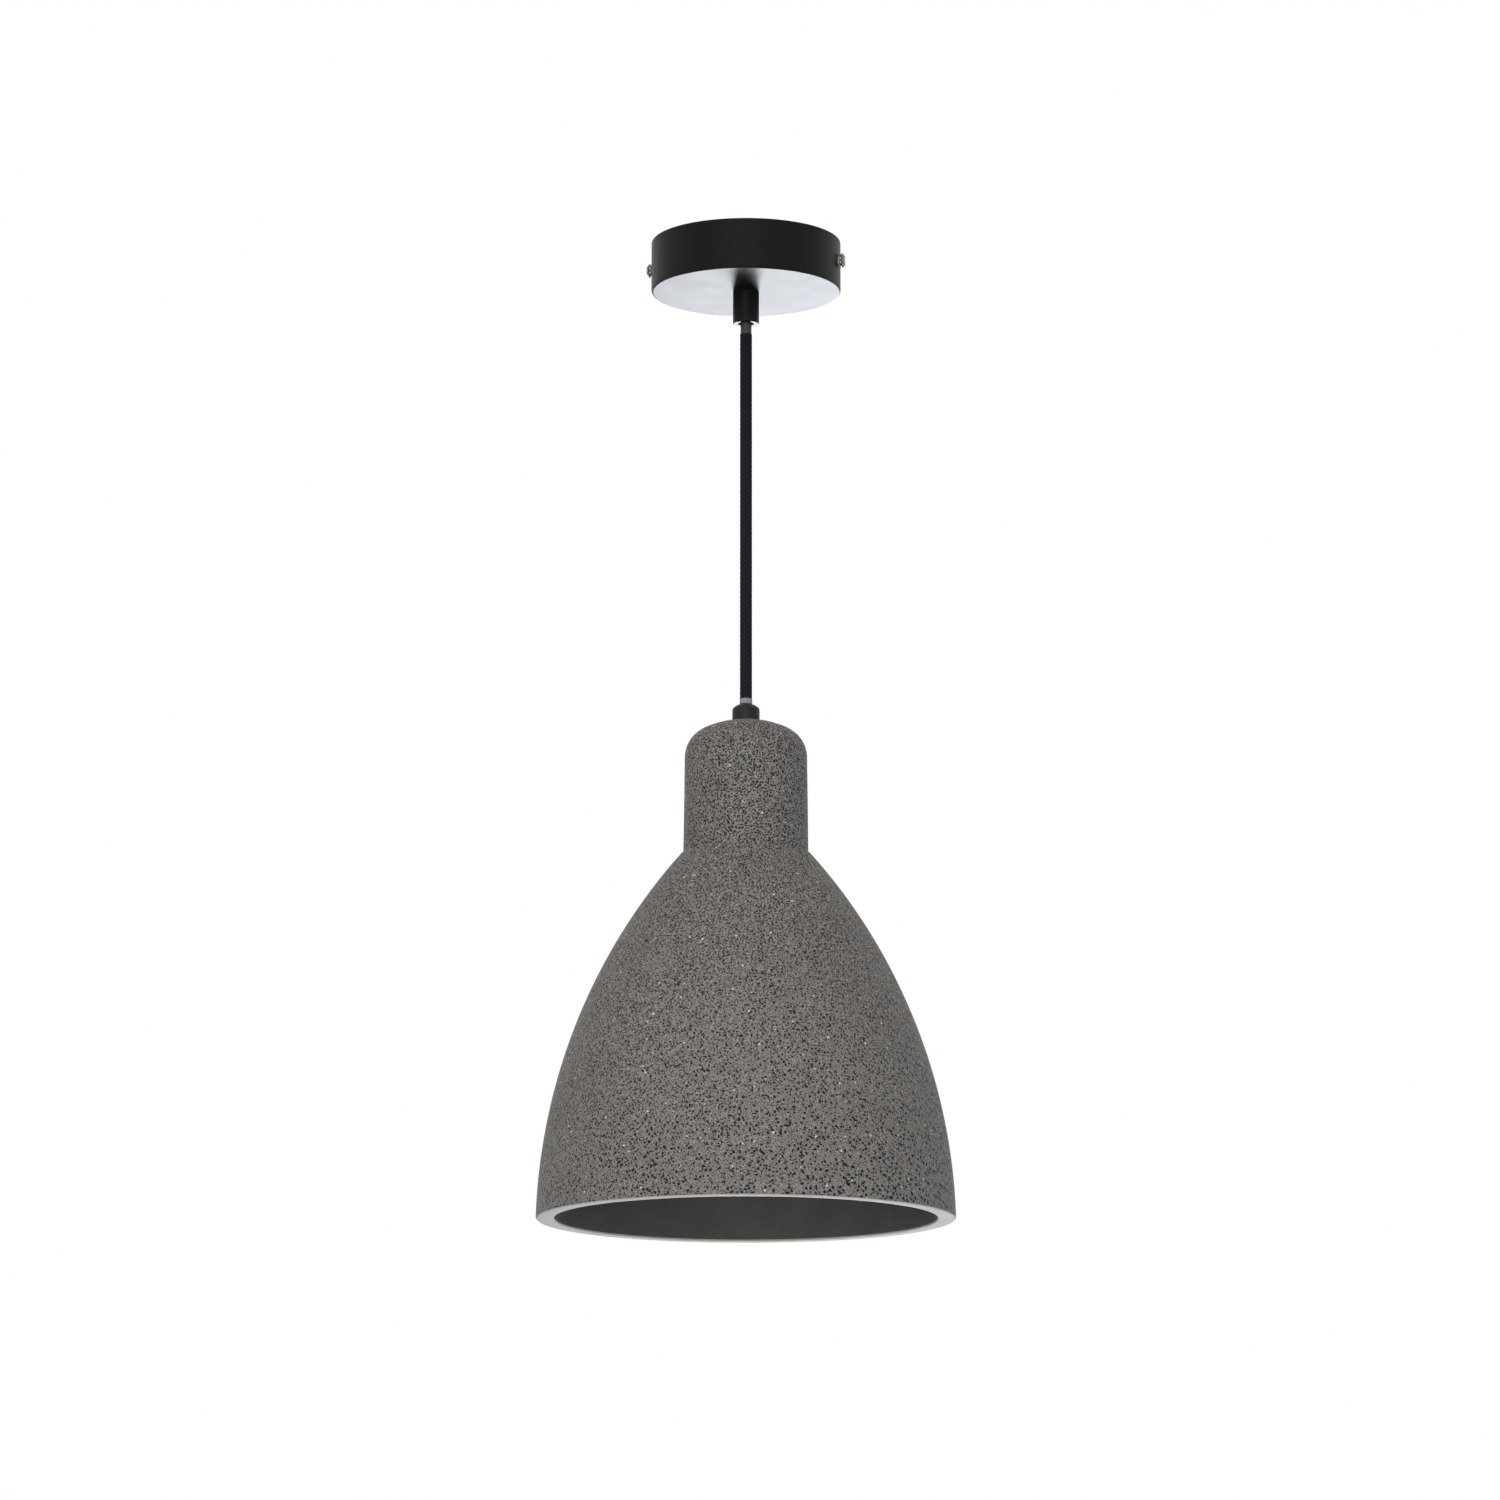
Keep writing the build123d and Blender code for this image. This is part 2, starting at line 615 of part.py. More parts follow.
def inner_sheath_bottom():
    """The sheath from the end of the braid into the lower grip."""
    return rounded_sheath(lower_pivot, braid_foot)


def cord_end_collar():
    """The woven binding round the end of the braid."""
    return ring(COLLAR_DIAMETER / 2, sheath_radius, collar_foot, braid_foot)


def sheath_tail_lower():
    """The sheath through the nipple into the lampholder."""
    return disc(sheath_radius, tail_foot(), lower_pivot - seat_radius)


def tail_foot():
    """Height at which the cores part inside the lampholder's cap."""
    return dome_top - FREE_GAP


def upper_core(side):
    """One insulated core from the sheath up and across to its pole, with a bare copper end."""
    start = side * CORE_SPACING / 2
    pole = side * POLE_PITCH / 2
    turn = block_face / 2
    rise = pole_height - tail_top
    bends = [CORE_BEND_SHARE * rise, CORE_BEND_SHARE * turn]
    points = [
        (start, 0, tail_top), (start, 0, pole_height),
        (pole, turn, pole_height), (pole, block_face, pole_height),
    ]
    copper = along_y(COPPER_DIAMETER / 2, block_face, COPPER_LENGTH, pole, pole_height)
    return wire(points, bends, CORE_DIAMETER) + copper


def lower_core(side):
    """One insulated core from the sheath down to its terminal in the lampholder."""
    start = side * CORE_SPACING / 2
    place = side * HOLDER_TERMINAL_FROM_AXIS
    top = tail_foot()
    foot = carrier_top + HOLDER_TERMINAL_SIZE
    step = (top - foot) / 3
    points = [(start, 0, top), (start, 0, top - step), (place, 0, foot + step), (place, 0, foot)]
    core = wire(points, [step, step], CORE_DIAMETER)
    return core + Pos(place, 0, 0) * disc(COPPER_DIAMETER / 2, foot - HOLDER_TERMINAL_SIZE / 2, foot)


# Lower cord grip and the clamping of the shade

def nipple_top():
    """Top of the nipple, under the web that carries the lower grip's ball seat."""
    return lower_pivot - seat_radius - GRIP_WEB


def lower_grip_body():
    """The grip on the shade, with a cone top, a ball seat and a threaded bore for the nipple."""
    radius = LOWER_GRIP_DIAMETER / 2
    bore_end, mouth_end, mouth = seat_outline(lower_pivot, -1, COLLAR_DIAMETER / 2, LOWER_TILT)
    cone_foot = lower_mouth - LOWER_GRIP_CONE
    outside = Polyline(
        mouth_end, (mouth_end[0] + LOWER_GRIP_RIM, lower_mouth), (radius, cone_foot),
        (radius, lower_grip_foot), (stud_bore, lower_grip_foot), (stud_bore, nipple_top()),
        (sheath_bore, nipple_top()), bore_end,
    )
    return turned([*mouth, *outside.edges()], [((radius, cone_foot), LOWER_GRIP_ROUND)])


def shade_gasket():
    """The thin seal under the lower grip."""
    return ring(GASKET_DIAMETER / 2, stud_hole, shade_seat, lower_grip_foot)


def threaded_nipple():
    """The hollow threaded tube from the lower grip through the shade into the lampholder."""
    return ring(stud_radius, NIPPLE_BORE / 2, hub_floor, nipple_top())


def shade_fibre_washer():
    """The soft washer under the shade's ceiling."""
    return ring(FIBRE_WASHER_DIAMETER / 2, stud_hole, fibre_foot, shade_ceiling)


def shade_steel_washer():
    """The steel washer under the soft one."""
    return ring(STEEL_WASHER_DIAMETER / 2, stud_hole, steel_foot, fibre_foot)


def shade_lock_nut():
    """The nut that clamps the shade."""
    return hex_nut(LOCK_NUT_ACROSS, stud_bore, lock_nut_foot, steel_foot)


# Shade

def bell_centre():
    """Centre of the bell's outer arc, from its two ends and its radius."""
    rim = Vector(SHADE_RIM_RADIUS, shade_rim)
    crease = Vector(SHADE_CREASE_RADIUS, shade_crease)
    chord = crease - rim
    reach = sqrt(SHADE_BELL_ARC**2 - (chord.length / 2) ** 2)
    towards_axis = Vector(-chord.Y, chord.X).normalized()
    return (rim + crease) / 2 + towards_axis * reach


def shade():
    """The cast bell: an arc from rim to crease, a straight neck and a domed top with a grip recess."""
    centre = bell_centre()
    inner_arc = SHADE_BELL_ARC - SHADE_WALL
    neck_bore = NECK_HEAD_RADIUS - NECK_WALL
    inner_rim = (centre.X + sqrt(inner_arc**2 - (shade_rim - centre.Y) ** 2), shade_rim)
    inner_crease = (neck_bore, centre.Y + sqrt(inner_arc**2 - (neck_bore - centre.X) ** 2))
    outer_rim = (SHADE_RIM_RADIUS, shade_rim)
    outer_crease = (SHADE_CREASE_RADIUS, shade_crease)
    neck_foot = (NECK_FOOT_RADIUS, shade_crease)
    dome_centre = shade_crown - NECK_DOME_RADIUS
    neck_head = (NECK_HEAD_RADIUS, dome_centre + sqrt(NECK_DOME_RADIUS**2 - NECK_HEAD_RADIUS**2))
    recess = LOWER_GRIP_DIAMETER / 2 + GRIP_RECESS_GAP
    recess_edge = (recess, dome_centre + sqrt(NECK_DOME_RADIUS**2 - recess**2))
    middle = (centre.X, centre.Y)
    neck = Polyline(outer_crease, neck_foot, neck_head)
    hollow = Polyline(
        recess_edge, (recess, shade_seat), (stud_hole, shade_seat),
        (stud_hole, shade_ceiling), (neck_bore, shade_ceiling), inner_crease,
    )
    return turned(
        [
            arc_about(middle, outer_rim, outer_crease),
            *neck.edges(),
            arc_about((0, dome_centre), neck_head, recess_edge),
            *hollow.edges(),
            arc_about(middle, inner_crease, inner_rim),
            Line(inner_rim, outer_rim),
        ],
        rounds=[
            (neck_head, NECK_TOP_ROUND),
            (recess_edge, GRIP_RECESS_EDGE),
            (neck_foot, NECK_CREASE_ROUND),
            (outer_rim, SHADE_RIM_EDGE),
            (inner_rim, SHADE_RIM_INNER_EDGE),
        ],
    )


# Lampholder

def lampholder_cap():
    """The upper half of the lampholder: a hub on the nipple, a sloping dome and a skirt."""
    hub = HUB_DIAMETER / 2
    dome_inside = hub - HOLDER_WALL
    cap = turned_corners(
        (stud_bore, holder_top), (hub, holder_top), (hub, dome_top), (cap_radius, skirt_top),
        (cap_radius, skirt_foot), (cap_bore, skirt_foot), (cap_bore, skirt_top - HOLDER_WALL),
        (dome_inside, dome_top), (NIPPLE_BORE / 2, dome_top), (NIPPLE_BORE / 2, hub_floor),
        (stud_bore, hub_floor),
    )
    hole = disc(PINCH_SCREW_DIAMETER / 2 + THREAD_GAP, stud_radius, hub)
    return cap - radial(hole, (holder_top + hub_floor) / 2, 90)


def lampholder_set_screw():
    """The set screw that locks the cap on the nipple."""
    outer = HUB_DIAMETER / 2 - PINCH_SCREW_SUNK
    screw = slotted(PINCH_SCREW_DIAMETER, stud_radius + THREAD_GAP, outer, True)
    return radial(screw, (holder_top + hub_floor) / 2, 90)


def lampholder_body():
    """The lower half of the lampholder, with a spigot in the cap and a ledge for the contact carrier."""
    return turned_corners(
        (body_bore, body_foot), (cap_radius, body_foot), (cap_radius, skirt_foot),
        (spigot_radius, skirt_foot), (spigot_radius, skirt_foot + HOLDER_SPIGOT),
        (body_bore, skirt_foot + HOLDER_SPIGOT),
        (body_bore, ledge_top), (ledge_bore, ledge_top),
        (ledge_bore, ledge_top - HOLDER_LEDGE_HEIGHT), (body_bore, ledge_top - HOLDER_LEDGE_HEIGHT),
        rounds=[((cap_radius, body_foot), HOLDER_WALL / 2)],
    )


def contact_carrier():
    """The ceramic disc that carries the contacts, with a hole for the centre contact's stem."""
    carrier = disc(body_bore - RUNNING_GAP, ledge_top, carrier_top)
    return carrier - disc(CONTACT_STEM_DIAMETER / 2 + THREAD_GAP, ledge_top, carrier_top)


def thread_wave(radius, bottom, turns):
    """Edges of a round thread's outline up the axis, as rings of one crest and one root for each turn."""
    edges = []
    quarter = THREAD_PITCH / 4
    for turn in range(turns):
        foot = bottom + turn * THREAD_PITCH
        for side, start in ((1, foot), (-1, foot + 2 * quarter)):
            peak = (radius + side * THREAD_DEPTH, start + quarter)
            edges.append(ThreePointArc((radius, start), peak, (radius, start + 2 * quarter)))
    return edges


def holder_thread_shell():
    """The thin threaded shell that takes the lamp, hung by its flange from the contact carrier."""
    wave = thread_wave(shell_bore, thread_foot, THREAD_TURNS)
    flange = ledge_bore - FREE_GAP
    outside = Polyline(
        (shell_bore, thread_top), (shell_bore, ledge_top), (flange, ledge_top),
        (flange, ledge_top - SHELL_FLANGE), (shell_radius, ledge_top - SHELL_FLANGE),
        (shell_radius, thread_foot), (shell_bore, thread_foot),
    )
    return turned([*wave, *outside.edges()])


def centre_contact():
    """The brass contact under the carrier, with its stem up through it."""
    contact = disc(CONTACT_BUTTON_DIAMETER / 2, button_foot, ledge_top)
    return contact + disc(CONTACT_STEM_DIAMETER / 2, ledge_top, carrier_top)


def terminal_sides():
    """The two sides of the axis that the lampholder's terminals stand on."""
    return (-1, 1)


def holder_terminals():
    """The two brass terminals on the carrier, bored for the copper and, from the side, the screw."""
    blocks = []
    size = HOLDER_TERMINAL_SIZE
    for side in terminal_sides():
        block = Pos(side * HOLDER_TERMINAL_FROM_AXIS, 0, carrier_top + size / 2) * Box(size, size, size)
        hole = disc(COPPER_DIAMETER / 2 + RUNNING_GAP, carrier_top, carrier_top + size)
        block -= Pos(side * HOLDER_TERMINAL_FROM_AXIS, 0, 0) * hole
        block -= holder_screw_place(side) * disc(HOLDER_SCREW_DIAMETER / 2 + THREAD_GAP, 0, size / 2)
        blocks.append(block)
    return Compound(blocks)


def holder_screw_place(side):
    """Frame at the middle of a terminal, with +Z out through its side towards +Y or -Y."""
    middle = Pos(side * HOLDER_TERMINAL_FROM_AXIS, 0, carrier_top + HOLDER_TERMINAL_SIZE / 2)
    return middle * Rot(-90 * side, 0, 0)


def holder_terminal_screws():
    """The screws that clamp the copper in the lampholder's terminals."""
    face = HOLDER_TERMINAL_SIZE / 2
    screw = disc(HOLDER_SCREW_DIAMETER / 2, COPPER_DIAMETER / 2 + THREAD_GAP, face)
    screw += disc(HOLDER_SCREW_HEAD / 2, face, face + HOLDER_SCREW_HEAD_HEIGHT)
    slot = Box(HOLDER_SCREW_HEAD, SLOT_CUT_WIDTH, 2 * SLOT_CUT_DEPTH)
    screw -= Pos(0, 0, face + HOLDER_SCREW_HEAD_HEIGHT) * slot
    return Compound([holder_screw_place(side) * screw for side in terminal_sides()])


# Lamp

def lamp_glass_outline(offset):
    """Edges of the lamp's glass from its neck to its crown, offset inwards, with their two ends.

    The hollow shoulder is the arc that leaves the straight neck just below the cap and meets the globe.
    """
    globe = LAMP_DIAMETER / 2
    globe_height = lamp_foot + globe
    shoulder_height = lamp_cap_foot - LAMP_NECK_SHOWN
    rise = shoulder_height - globe_height
    arc = (rise**2 + lamp_neck_radius**2 - globe**2) / (2 * (globe - lamp_neck_radius))
    radius = globe - offset
    shoulder = arc + offset
    neck = lamp_neck_radius - offset
    share = radius / (radius + shoulder)
    meet = (share * (neck + shoulder), globe_height + share * (shoulder_height - globe_height))
    top = (neck, neck_top)
    widest = (radius, globe_height)
    crown = (0, globe_height - radius)
    edges = [
        Line(top, (neck, shoulder_height)),
        arc_about((neck + shoulder, shoulder_height), (neck, shoulder_height), meet),
        arc_about((0, globe_height), meet, widest),
        arc_about((0, globe_height), widest, crown),
    ]
    return top, crown, edges


def lamp_glass():
    """The lamp's hollow glass, open at the top of its neck."""
    outer_top, outer_crown, outside = lamp_glass_outline(0)
    inner_top, inner_crown, inside = lamp_glass_outline(LAMP_GLASS)
    return turned([*outside, Line(outer_crown, inner_crown), *inside, Line(inner_top, outer_top)])


def lamp_cap():
    """The lamp's screw cap: a thin threaded shell with a plain skirt round the glass neck."""
    wave = thread_wave(THREAD_RADIUS, thread_foot, THREAD_TURNS)
    inside = Polyline(
        (THREAD_RADIUS, thread_top), (lamp_cap_bore, thread_top), (lamp_cap_bore, lamp_cap_foot),
        (THREAD_RADIUS, lamp_cap_foot), (THREAD_RADIUS, thread_foot),
    )
    return turned([*wave, *inside.edges()])


def lamp_insulator():
    """The black glass between the cap and its end contact."""
    return turned_corners(
        (0, thread_top), (THREAD_RADIUS, thread_top),
        (LAMP_CONTACT_DIAMETER / 2, insulator_top), (0, insulator_top),
    )


def lamp_contact():
    """The domed end contact."""
    radius = LAMP_CONTACT_DIAMETER / 2
    dome_radius = (radius**2 + LAMP_CONTACT_HEIGHT**2) / (2 * LAMP_CONTACT_HEIGHT)
    dome = arc_about((0, lamp_top - dome_radius), (radius, insulator_top), (0, lamp_top))
    return turned([dome, *Polyline((0, lamp_top), (0, insulator_top), (radius, insulator_top)).edges()])


def lamp_stem():
    """The glass stem that carries the filaments, flared to close the neck."""
    flare = lamp_neck_radius - LAMP_GLASS - FREE_GAP
    radius = STEM_DIAMETER / 2
    return turned_corners(
        (0, neck_top), (flare, neck_top), (radius, neck_top - STEM_FLARE),
        (radius, stem_foot), (0, stem_foot),
    )


def filament_ends(azimuth):
    """The upper and lower ends of the filament at an azimuth."""
    places = []
    turn = radians(azimuth)
    foot = FILAMENT_TOP + FILAMENT_LENGTH
    for radius, drop in ((FILAMENT_TOP_RADIUS, FILAMENT_TOP), (FILAMENT_FOOT_RADIUS, foot)):
        places.append(Vector(radius * cos(turn), radius * sin(turn), neck_top - drop))
    return places


def filament_azimuths():
    """Where the filaments stand round the stem."""
    return [360 * n / FILAMENT_COUNT for n in range(FILAMENT_COUNT)]


def lamp_filaments():
    """The slanted filament sticks round the stem."""
    sticks = []
    for azimuth in filament_azimuths():
        upper, lower = filament_ends(azimuth)
        span = upper - lower
        sticks.append(Plane(origin=lower, z_dir=span) * disc(FILAMENT_DIAMETER / 2, 0, span.length))
    return Compound(sticks)


def lamp_leads():
    """The short wires that hold both ends of each filament to the stem."""
    leads = []
    for azimuth in filament_azimuths():
        upper, lower = filament_ends(azimuth)
        step = (lower - upper).normalized() * FILAMENT_DIAMETER
        for place in (upper + step, lower - step):
            reach = hypot(place.X, place.Y) - FILAMENT_DIAMETER / 2 - RUNNING_GAP
            leads.append(radial(disc(LEAD_DIAMETER / 2, STEM_DIAMETER / 2, reach), place.Z, azimuth))
    return Compound(leads)


PIECES = {
    "ceiling_bracket": ceiling_bracket,
    "bracket_nuts": bracket_nuts,
    "terminal_block": terminal_block,
    "terminal_tubes": terminal_tubes,
    "terminal_screws": terminal_screws,
    "terminal_fixing_screw": terminal_fixing_screw,
    "earth_screw": earth_screw,
    "earth_washer": earth_washer,
    "canopy_cup": canopy_cup,
    "canopy_screw_right": lambda: canopy_screw(0),
    "canopy_screw_left": lambda: canopy_screw(180),
    "upper_grip_body": upper_grip_body,
    "upper_grip_pinch_screw": upper_grip_pinch_screw,
    "upper_grip_washer": upper_grip_washer,
    "upper_grip_nut": upper_grip_nut,
    "sheath_tail_upper": sheath_tail_upper,
    "live_core_upper": lambda: upper_core(-1),
    "neutral_core_upper": lambda: upper_core(1),
    "upper_cord_bush": lambda: cord_bush(upper_pivot, 1),
    "inner_sheath_top": inner_sheath_top,
    "cord_braid": cord_braid,
    "inner_sheath_bottom": inner_sheath_bottom,
    "cord_end_collar": cord_end_collar,
    "lower_cord_bush": lambda: cord_bush(lower_pivot, -1),
    "lower_grip_body": lower_grip_body,
    "shade_gasket": shade_gasket,
    "shade": shade,
    "threaded_nipple": threaded_nipple,
    "shade_fibre_washer": shade_fibre_washer,
    "shade_steel_washer": shade_steel_washer,
    "shade_lock_nut": shade_lock_nut,
    "sheath_tail_lower": sheath_tail_lower,
    "live_core_lower": lambda: lower_core(-1),
    "neutral_core_lower": lambda: lower_core(1),
    "lampholder_cap": lampholder_cap,
    "lampholder_set_screw": lampholder_set_screw,
    "lampholder_body": lampholder_body,
    "contact_carrier": contact_carrier,
    "holder_thread_shell": holder_thread_shell,
    "centre_contact": centre_contact,
    "holder_terminals": holder_terminals,
    "holder_terminal_screws": holder_terminal_screws,
    "lamp_glass": lamp_glass,
    "lamp_cap": lamp_cap,
    "lamp_insulator": lamp_insulator,
    "lamp_contact": lamp_contact,
    "lamp_stem": lamp_stem,
    "lamp_filaments": lamp_filaments,
    "lamp_leads": lamp_leads,
}

os.makedirs("parts", exist_ok=True)
for name, make in PIECES.items():
    export_step(make(), f"parts/{name}.step")
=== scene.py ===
"""Looks of a pendant ceiling light: a speckled concrete bell on a braided cord under a black canopy.

Sizes in the classes are millimetres unless they say otherwise, and heights are below the ceiling plane.
"""

import json
import logging
from collections.abc import Callable, Sequence
from dataclasses import dataclass, field
from enum import Enum, IntEnum
from math import acos, atan2, ceil, cos, floor, hypot, pi, radians, sin, sqrt, tan

import bpy
from mathutils import Matrix, Vector, noise


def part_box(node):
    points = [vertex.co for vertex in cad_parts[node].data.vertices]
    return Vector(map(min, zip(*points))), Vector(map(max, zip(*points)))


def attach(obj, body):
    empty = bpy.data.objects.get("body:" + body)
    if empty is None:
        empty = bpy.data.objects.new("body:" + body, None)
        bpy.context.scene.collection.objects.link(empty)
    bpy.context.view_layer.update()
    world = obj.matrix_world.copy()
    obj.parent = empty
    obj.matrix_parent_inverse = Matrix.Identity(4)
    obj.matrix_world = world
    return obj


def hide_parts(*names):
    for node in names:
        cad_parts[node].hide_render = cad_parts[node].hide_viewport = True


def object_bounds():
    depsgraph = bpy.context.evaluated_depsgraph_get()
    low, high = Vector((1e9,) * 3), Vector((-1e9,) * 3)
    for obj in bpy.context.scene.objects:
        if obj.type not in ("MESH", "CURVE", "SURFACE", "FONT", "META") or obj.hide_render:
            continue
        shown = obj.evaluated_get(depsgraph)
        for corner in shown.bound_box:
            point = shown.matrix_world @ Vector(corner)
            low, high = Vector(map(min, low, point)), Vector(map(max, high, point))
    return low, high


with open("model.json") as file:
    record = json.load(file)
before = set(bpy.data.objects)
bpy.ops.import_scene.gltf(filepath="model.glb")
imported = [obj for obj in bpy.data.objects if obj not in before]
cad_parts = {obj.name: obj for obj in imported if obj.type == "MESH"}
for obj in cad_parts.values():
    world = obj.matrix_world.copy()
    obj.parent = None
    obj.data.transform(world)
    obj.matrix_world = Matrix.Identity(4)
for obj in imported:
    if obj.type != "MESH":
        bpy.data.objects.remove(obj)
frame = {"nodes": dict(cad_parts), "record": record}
CAD_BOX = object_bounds()

MM = 0.001
FULL_TURN = 2 * pi
TOLERANCE = 1e-6
WHITE = "#ffffff"
LOG = logging.getLogger("pendant_light")

Point = tuple[float, float]
Colour = tuple[float, float, float, float]
Socket = bpy.types.NodeSocket
Relief = Callable[[Vector], float]


class Body(str, Enum):
    """The moving bodies that new pieces ride on."""

    CANOPY_SCREW_RIGHT = "canopy_screw_right"
    CANOPY_SCREW_LEFT = "canopy_screw_left"
    CORD_TOP = "cord_top"
    CORD = "cord"
    SHADE = "shade_assembly"


class Surface(IntEnum):
    """The shade's surfaces, in the order of its material slots."""

    OUTSIDE = 0
    RIM = 1
    INSIDE = 2


class GritSpread(Enum):
    """How a kind of grit's size changes from the neck to the rim, as shares of its radius."""

    EVEN = (1.0, 1.0)
    FINER_AT_RIM = (1.08, 0.72)
    COARSER_AT_RIM = (0.5, 1.4)


# Colours, nodes and meshes


def linear(colour: str) -> Colour:
    """Turns an sRGB hex colour into linear light.

    Args:
        colour: The colour as "#rrggbb".

    Returns:
        Linear red, green and blue, and an alpha of 1.
    """
    channels = [int(colour[i : i + 2], 16) / 255 for i in (1, 3, 5)]
    red, green, blue = (c / 12.92 if c <= 0.04045 else ((c + 0.055) / 1.055) ** 2.4 for c in channels)
    return red, green, blue, 1.0


def per_metre(size: float) -> float:
    """The texture scale that makes one cell of a pattern a size in millimetres."""
    return 1 / (size * MM)


def add_node(
    tree: bpy.types.NodeTree, kind: str, inputs: dict[str | int, object] | None = None, **settings: object
) -> bpy.types.Node:
    """Adds a shader node with its settings, values and links.

    Args:
        tree: The node tree that it goes into.
        kind: The node's type, without its first word.
        inputs: For each input, by name or place, a value or the output socket to link.
        settings: The node's own properties.

    Returns:
        The new node.
    """
    node = tree.nodes.new("ShaderNode" + kind)
    for name, value in settings.items():
        setattr(node, name, value)
    for key, value in (inputs or {}).items():
        if isinstance(value, Socket):
            tree.links.new(value, node.inputs[key])
        else:
            node.inputs[key].default_value = value
    return node


def new_piece(name: str, vertices: Sequence[Vector], faces: Sequence[Sequence[int]]) -> bpy.types.Object:
    """Makes a smooth mesh object in the scene.

    Args:
        name: The piece's name.
        vertices: Corners in millimetres.
        faces: Corner numbers of each face.

    Returns:
        The object, at the origin.
    """
    mesh = bpy.data.meshes.new(name)
    mesh.from_pydata([tuple(v * MM) for v in vertices], [], faces)
    mesh.shade_smooth()
    piece = bpy.data.objects.new(name, mesh)
    bpy.context.scene.collection.objects.link(piece)
    return piece


def set_crowns(piece: bpy.types.Object, depths: Sequence[float]) -> None:
    """Stores how high each vertex stands in a relief, which a finish can read.

    Args:
        piece: The piece.
        depths: How far each vertex is pressed in.
    """
    deepest = max(depths) or 1.0
    crown = piece.data.attributes.new("crown", "FLOAT", "POINT")
    crown.data.foreach_set("value", [1 - depth / deepest for depth in depths])


def ring_faces(first: int, second: int, segments: int) -> list[tuple[int, ...]]:
    """The faces between two rings of vertices, given the number of each ring's first vertex."""
    turns = [(n, (n + 1) % segments) for n in range(segments)]
    return [(first + a, first + b, second + b, second + a) for a, b in turns]


def fan_faces(start: int, end: int, segments: int, to_point: bool) -> list[tuple[int, ...]]:
    """The faces between a ring and a single vertex on the axis.

    Args:
        start: The first vertex of the stretch's start.
        end: The first vertex of the stretch's end.
        segments: How many steps go round the axis.
        to_point: Whether the stretch ends on the axis.

    Returns:
        Three corners for each face.
    """
    turns = [(n, (n + 1) % segments) for n in range(segments)]
    if to_point:
        return [(start + a, start + b, end) for a, b in turns]
    return [(start, end + b, end + a) for a, b in turns]


@dataclass
class Outline:
    """Half the section of a turned piece: points of (radius, height), and a surface for each stretch."""

    points: list[Point] = field(default_factory=list)
    surfaces: list[int] = field(default_factory=list)

    def go(self, end: Point, steps: int = 1, surface: int = 0) -> None:
        """Runs straight from the last point to another.

        Args:
            end: Where the line ends.
            steps: How many stretches it is divided into.
            surface: The surface that it belongs to.
        """
        radius, height = self.points[-1] if self.points else end
        for n in range(1, steps + 1):
            share = n / steps
            self._add((radius + share * (end[0] - radius), height + share * (end[1] - height)), surface)

    def turn(self, centre: Point, end: Point, steps: int, surface: int = 0) -> None:
        """Runs from the last point along the shorter arc about a centre.

        Args:
            centre: The arc's centre.
            end: Where the arc ends.
            steps: How many stretches it is divided into.
            surface: The surface that it belongs to.
        """
        start = self.points[-1]
        first = atan2(start[1] - centre[1], start[0] - centre[0])
        last = atan2(end[1] - centre[1], end[0] - centre[0])
        sweep = (last - first + pi) % FULL_TURN - pi
        radius = hypot(start[0] - centre[0], start[1] - centre[1])
        for n in range(1, steps + 1):
            angle = first + sweep * n / steps
            out, up = centre[0] + radius * cos(angle), centre[1] + radius * sin(angle)
            self._add((max(0.0, out), up), surface)

    def round(self, corner: Point, after: Point, radius: float, steps: int, surface: int = 0) -> None:
        """Runs straight towards a corner and rounds it towards the next point.

        Args:
            corner: The sharp corner.
            after: A point on the line that leaves the corner.
            radius: The rounding's radius.
            steps: How many stretches the rounding is divided into.
            surface: The surface that it belongs to.
        """
        here = Vector(corner)
        back = (Vector(self.points[-1]) - here).normalized()
        ahead = (Vector(after) - here).normalized()
        half = acos(max(-1.0, min(1.0, back.dot(ahead)))) / 2
        centre = here + (back + ahead).normalized() * (radius / sin(half))
        reach = radius / tan(half)
        self.go(tuple(here + back * reach), surface=surface)
        self.turn(tuple(centre), tuple(here + ahead * reach), steps, surface)

    def _add(self, point: Point, surface: int) -> None:
        """Adds a point and the surface of the stretch that ends there."""
        self.points.append(point)
        self.surfaces.append(surface)


def turned(
    name: str, outline: Outline, segments: int, closed: bool = True, relief: Relief | None = None
) -> bpy.types.Object:
    """Turns an outline about the axis into a mesh.

    Args:
        name: The piece's name.
        outline: Its half section. An end of an open outline lies on the axis.
        segments: How many steps go round the axis.
        closed: Whether the outline closes on itself.
        relief: How far a vertex is pressed in towards the axis.

    Returns:
        The object, with a material number on each face for its surface.
    """
    vertices: list[Vector] = []
    firsts: list[int] = []
    for radius, height in outline.points:
        firsts.append(len(vertices))
        for n in range(segments if radius > TOLERANCE else 1):
            angle = FULL_TURN * n / segments
            vertices.append(Vector((radius * cos(angle), radius * sin(angle), height)))
    faces: list[tuple[int, ...]] = []
    surfaces: list[int] = []
    for end in range(0 if closed else 1, len(outline.points)):
        off_axis = [outline.points[n][0] > TOLERANCE for n in (end - 1, end)]
        if all(off_axis):
            made = ring_faces(firsts[end - 1], firsts[end], segments)
        else:
            made = fan_faces(firsts[end - 1], firsts[end], segments, off_axis[0])
        faces += made
        surfaces += [int(outline.surfaces[end])] * len(made)
    depths = [relief(v) for v in vertices] if relief else []
    for vertex, depth in zip(vertices, depths):
        if depth:
            vertex.xy *= 1 - depth / vertex.xy.length
    piece = new_piece(name, vertices, faces)
    piece.data.polygons.foreach_set("material_index", surfaces)
    if relief:
        set_crowns(piece, depths)
    return piece


# How high a thread stands where it dips under the next, as a share of its crown's height.
THREAD_DIP = 0.45


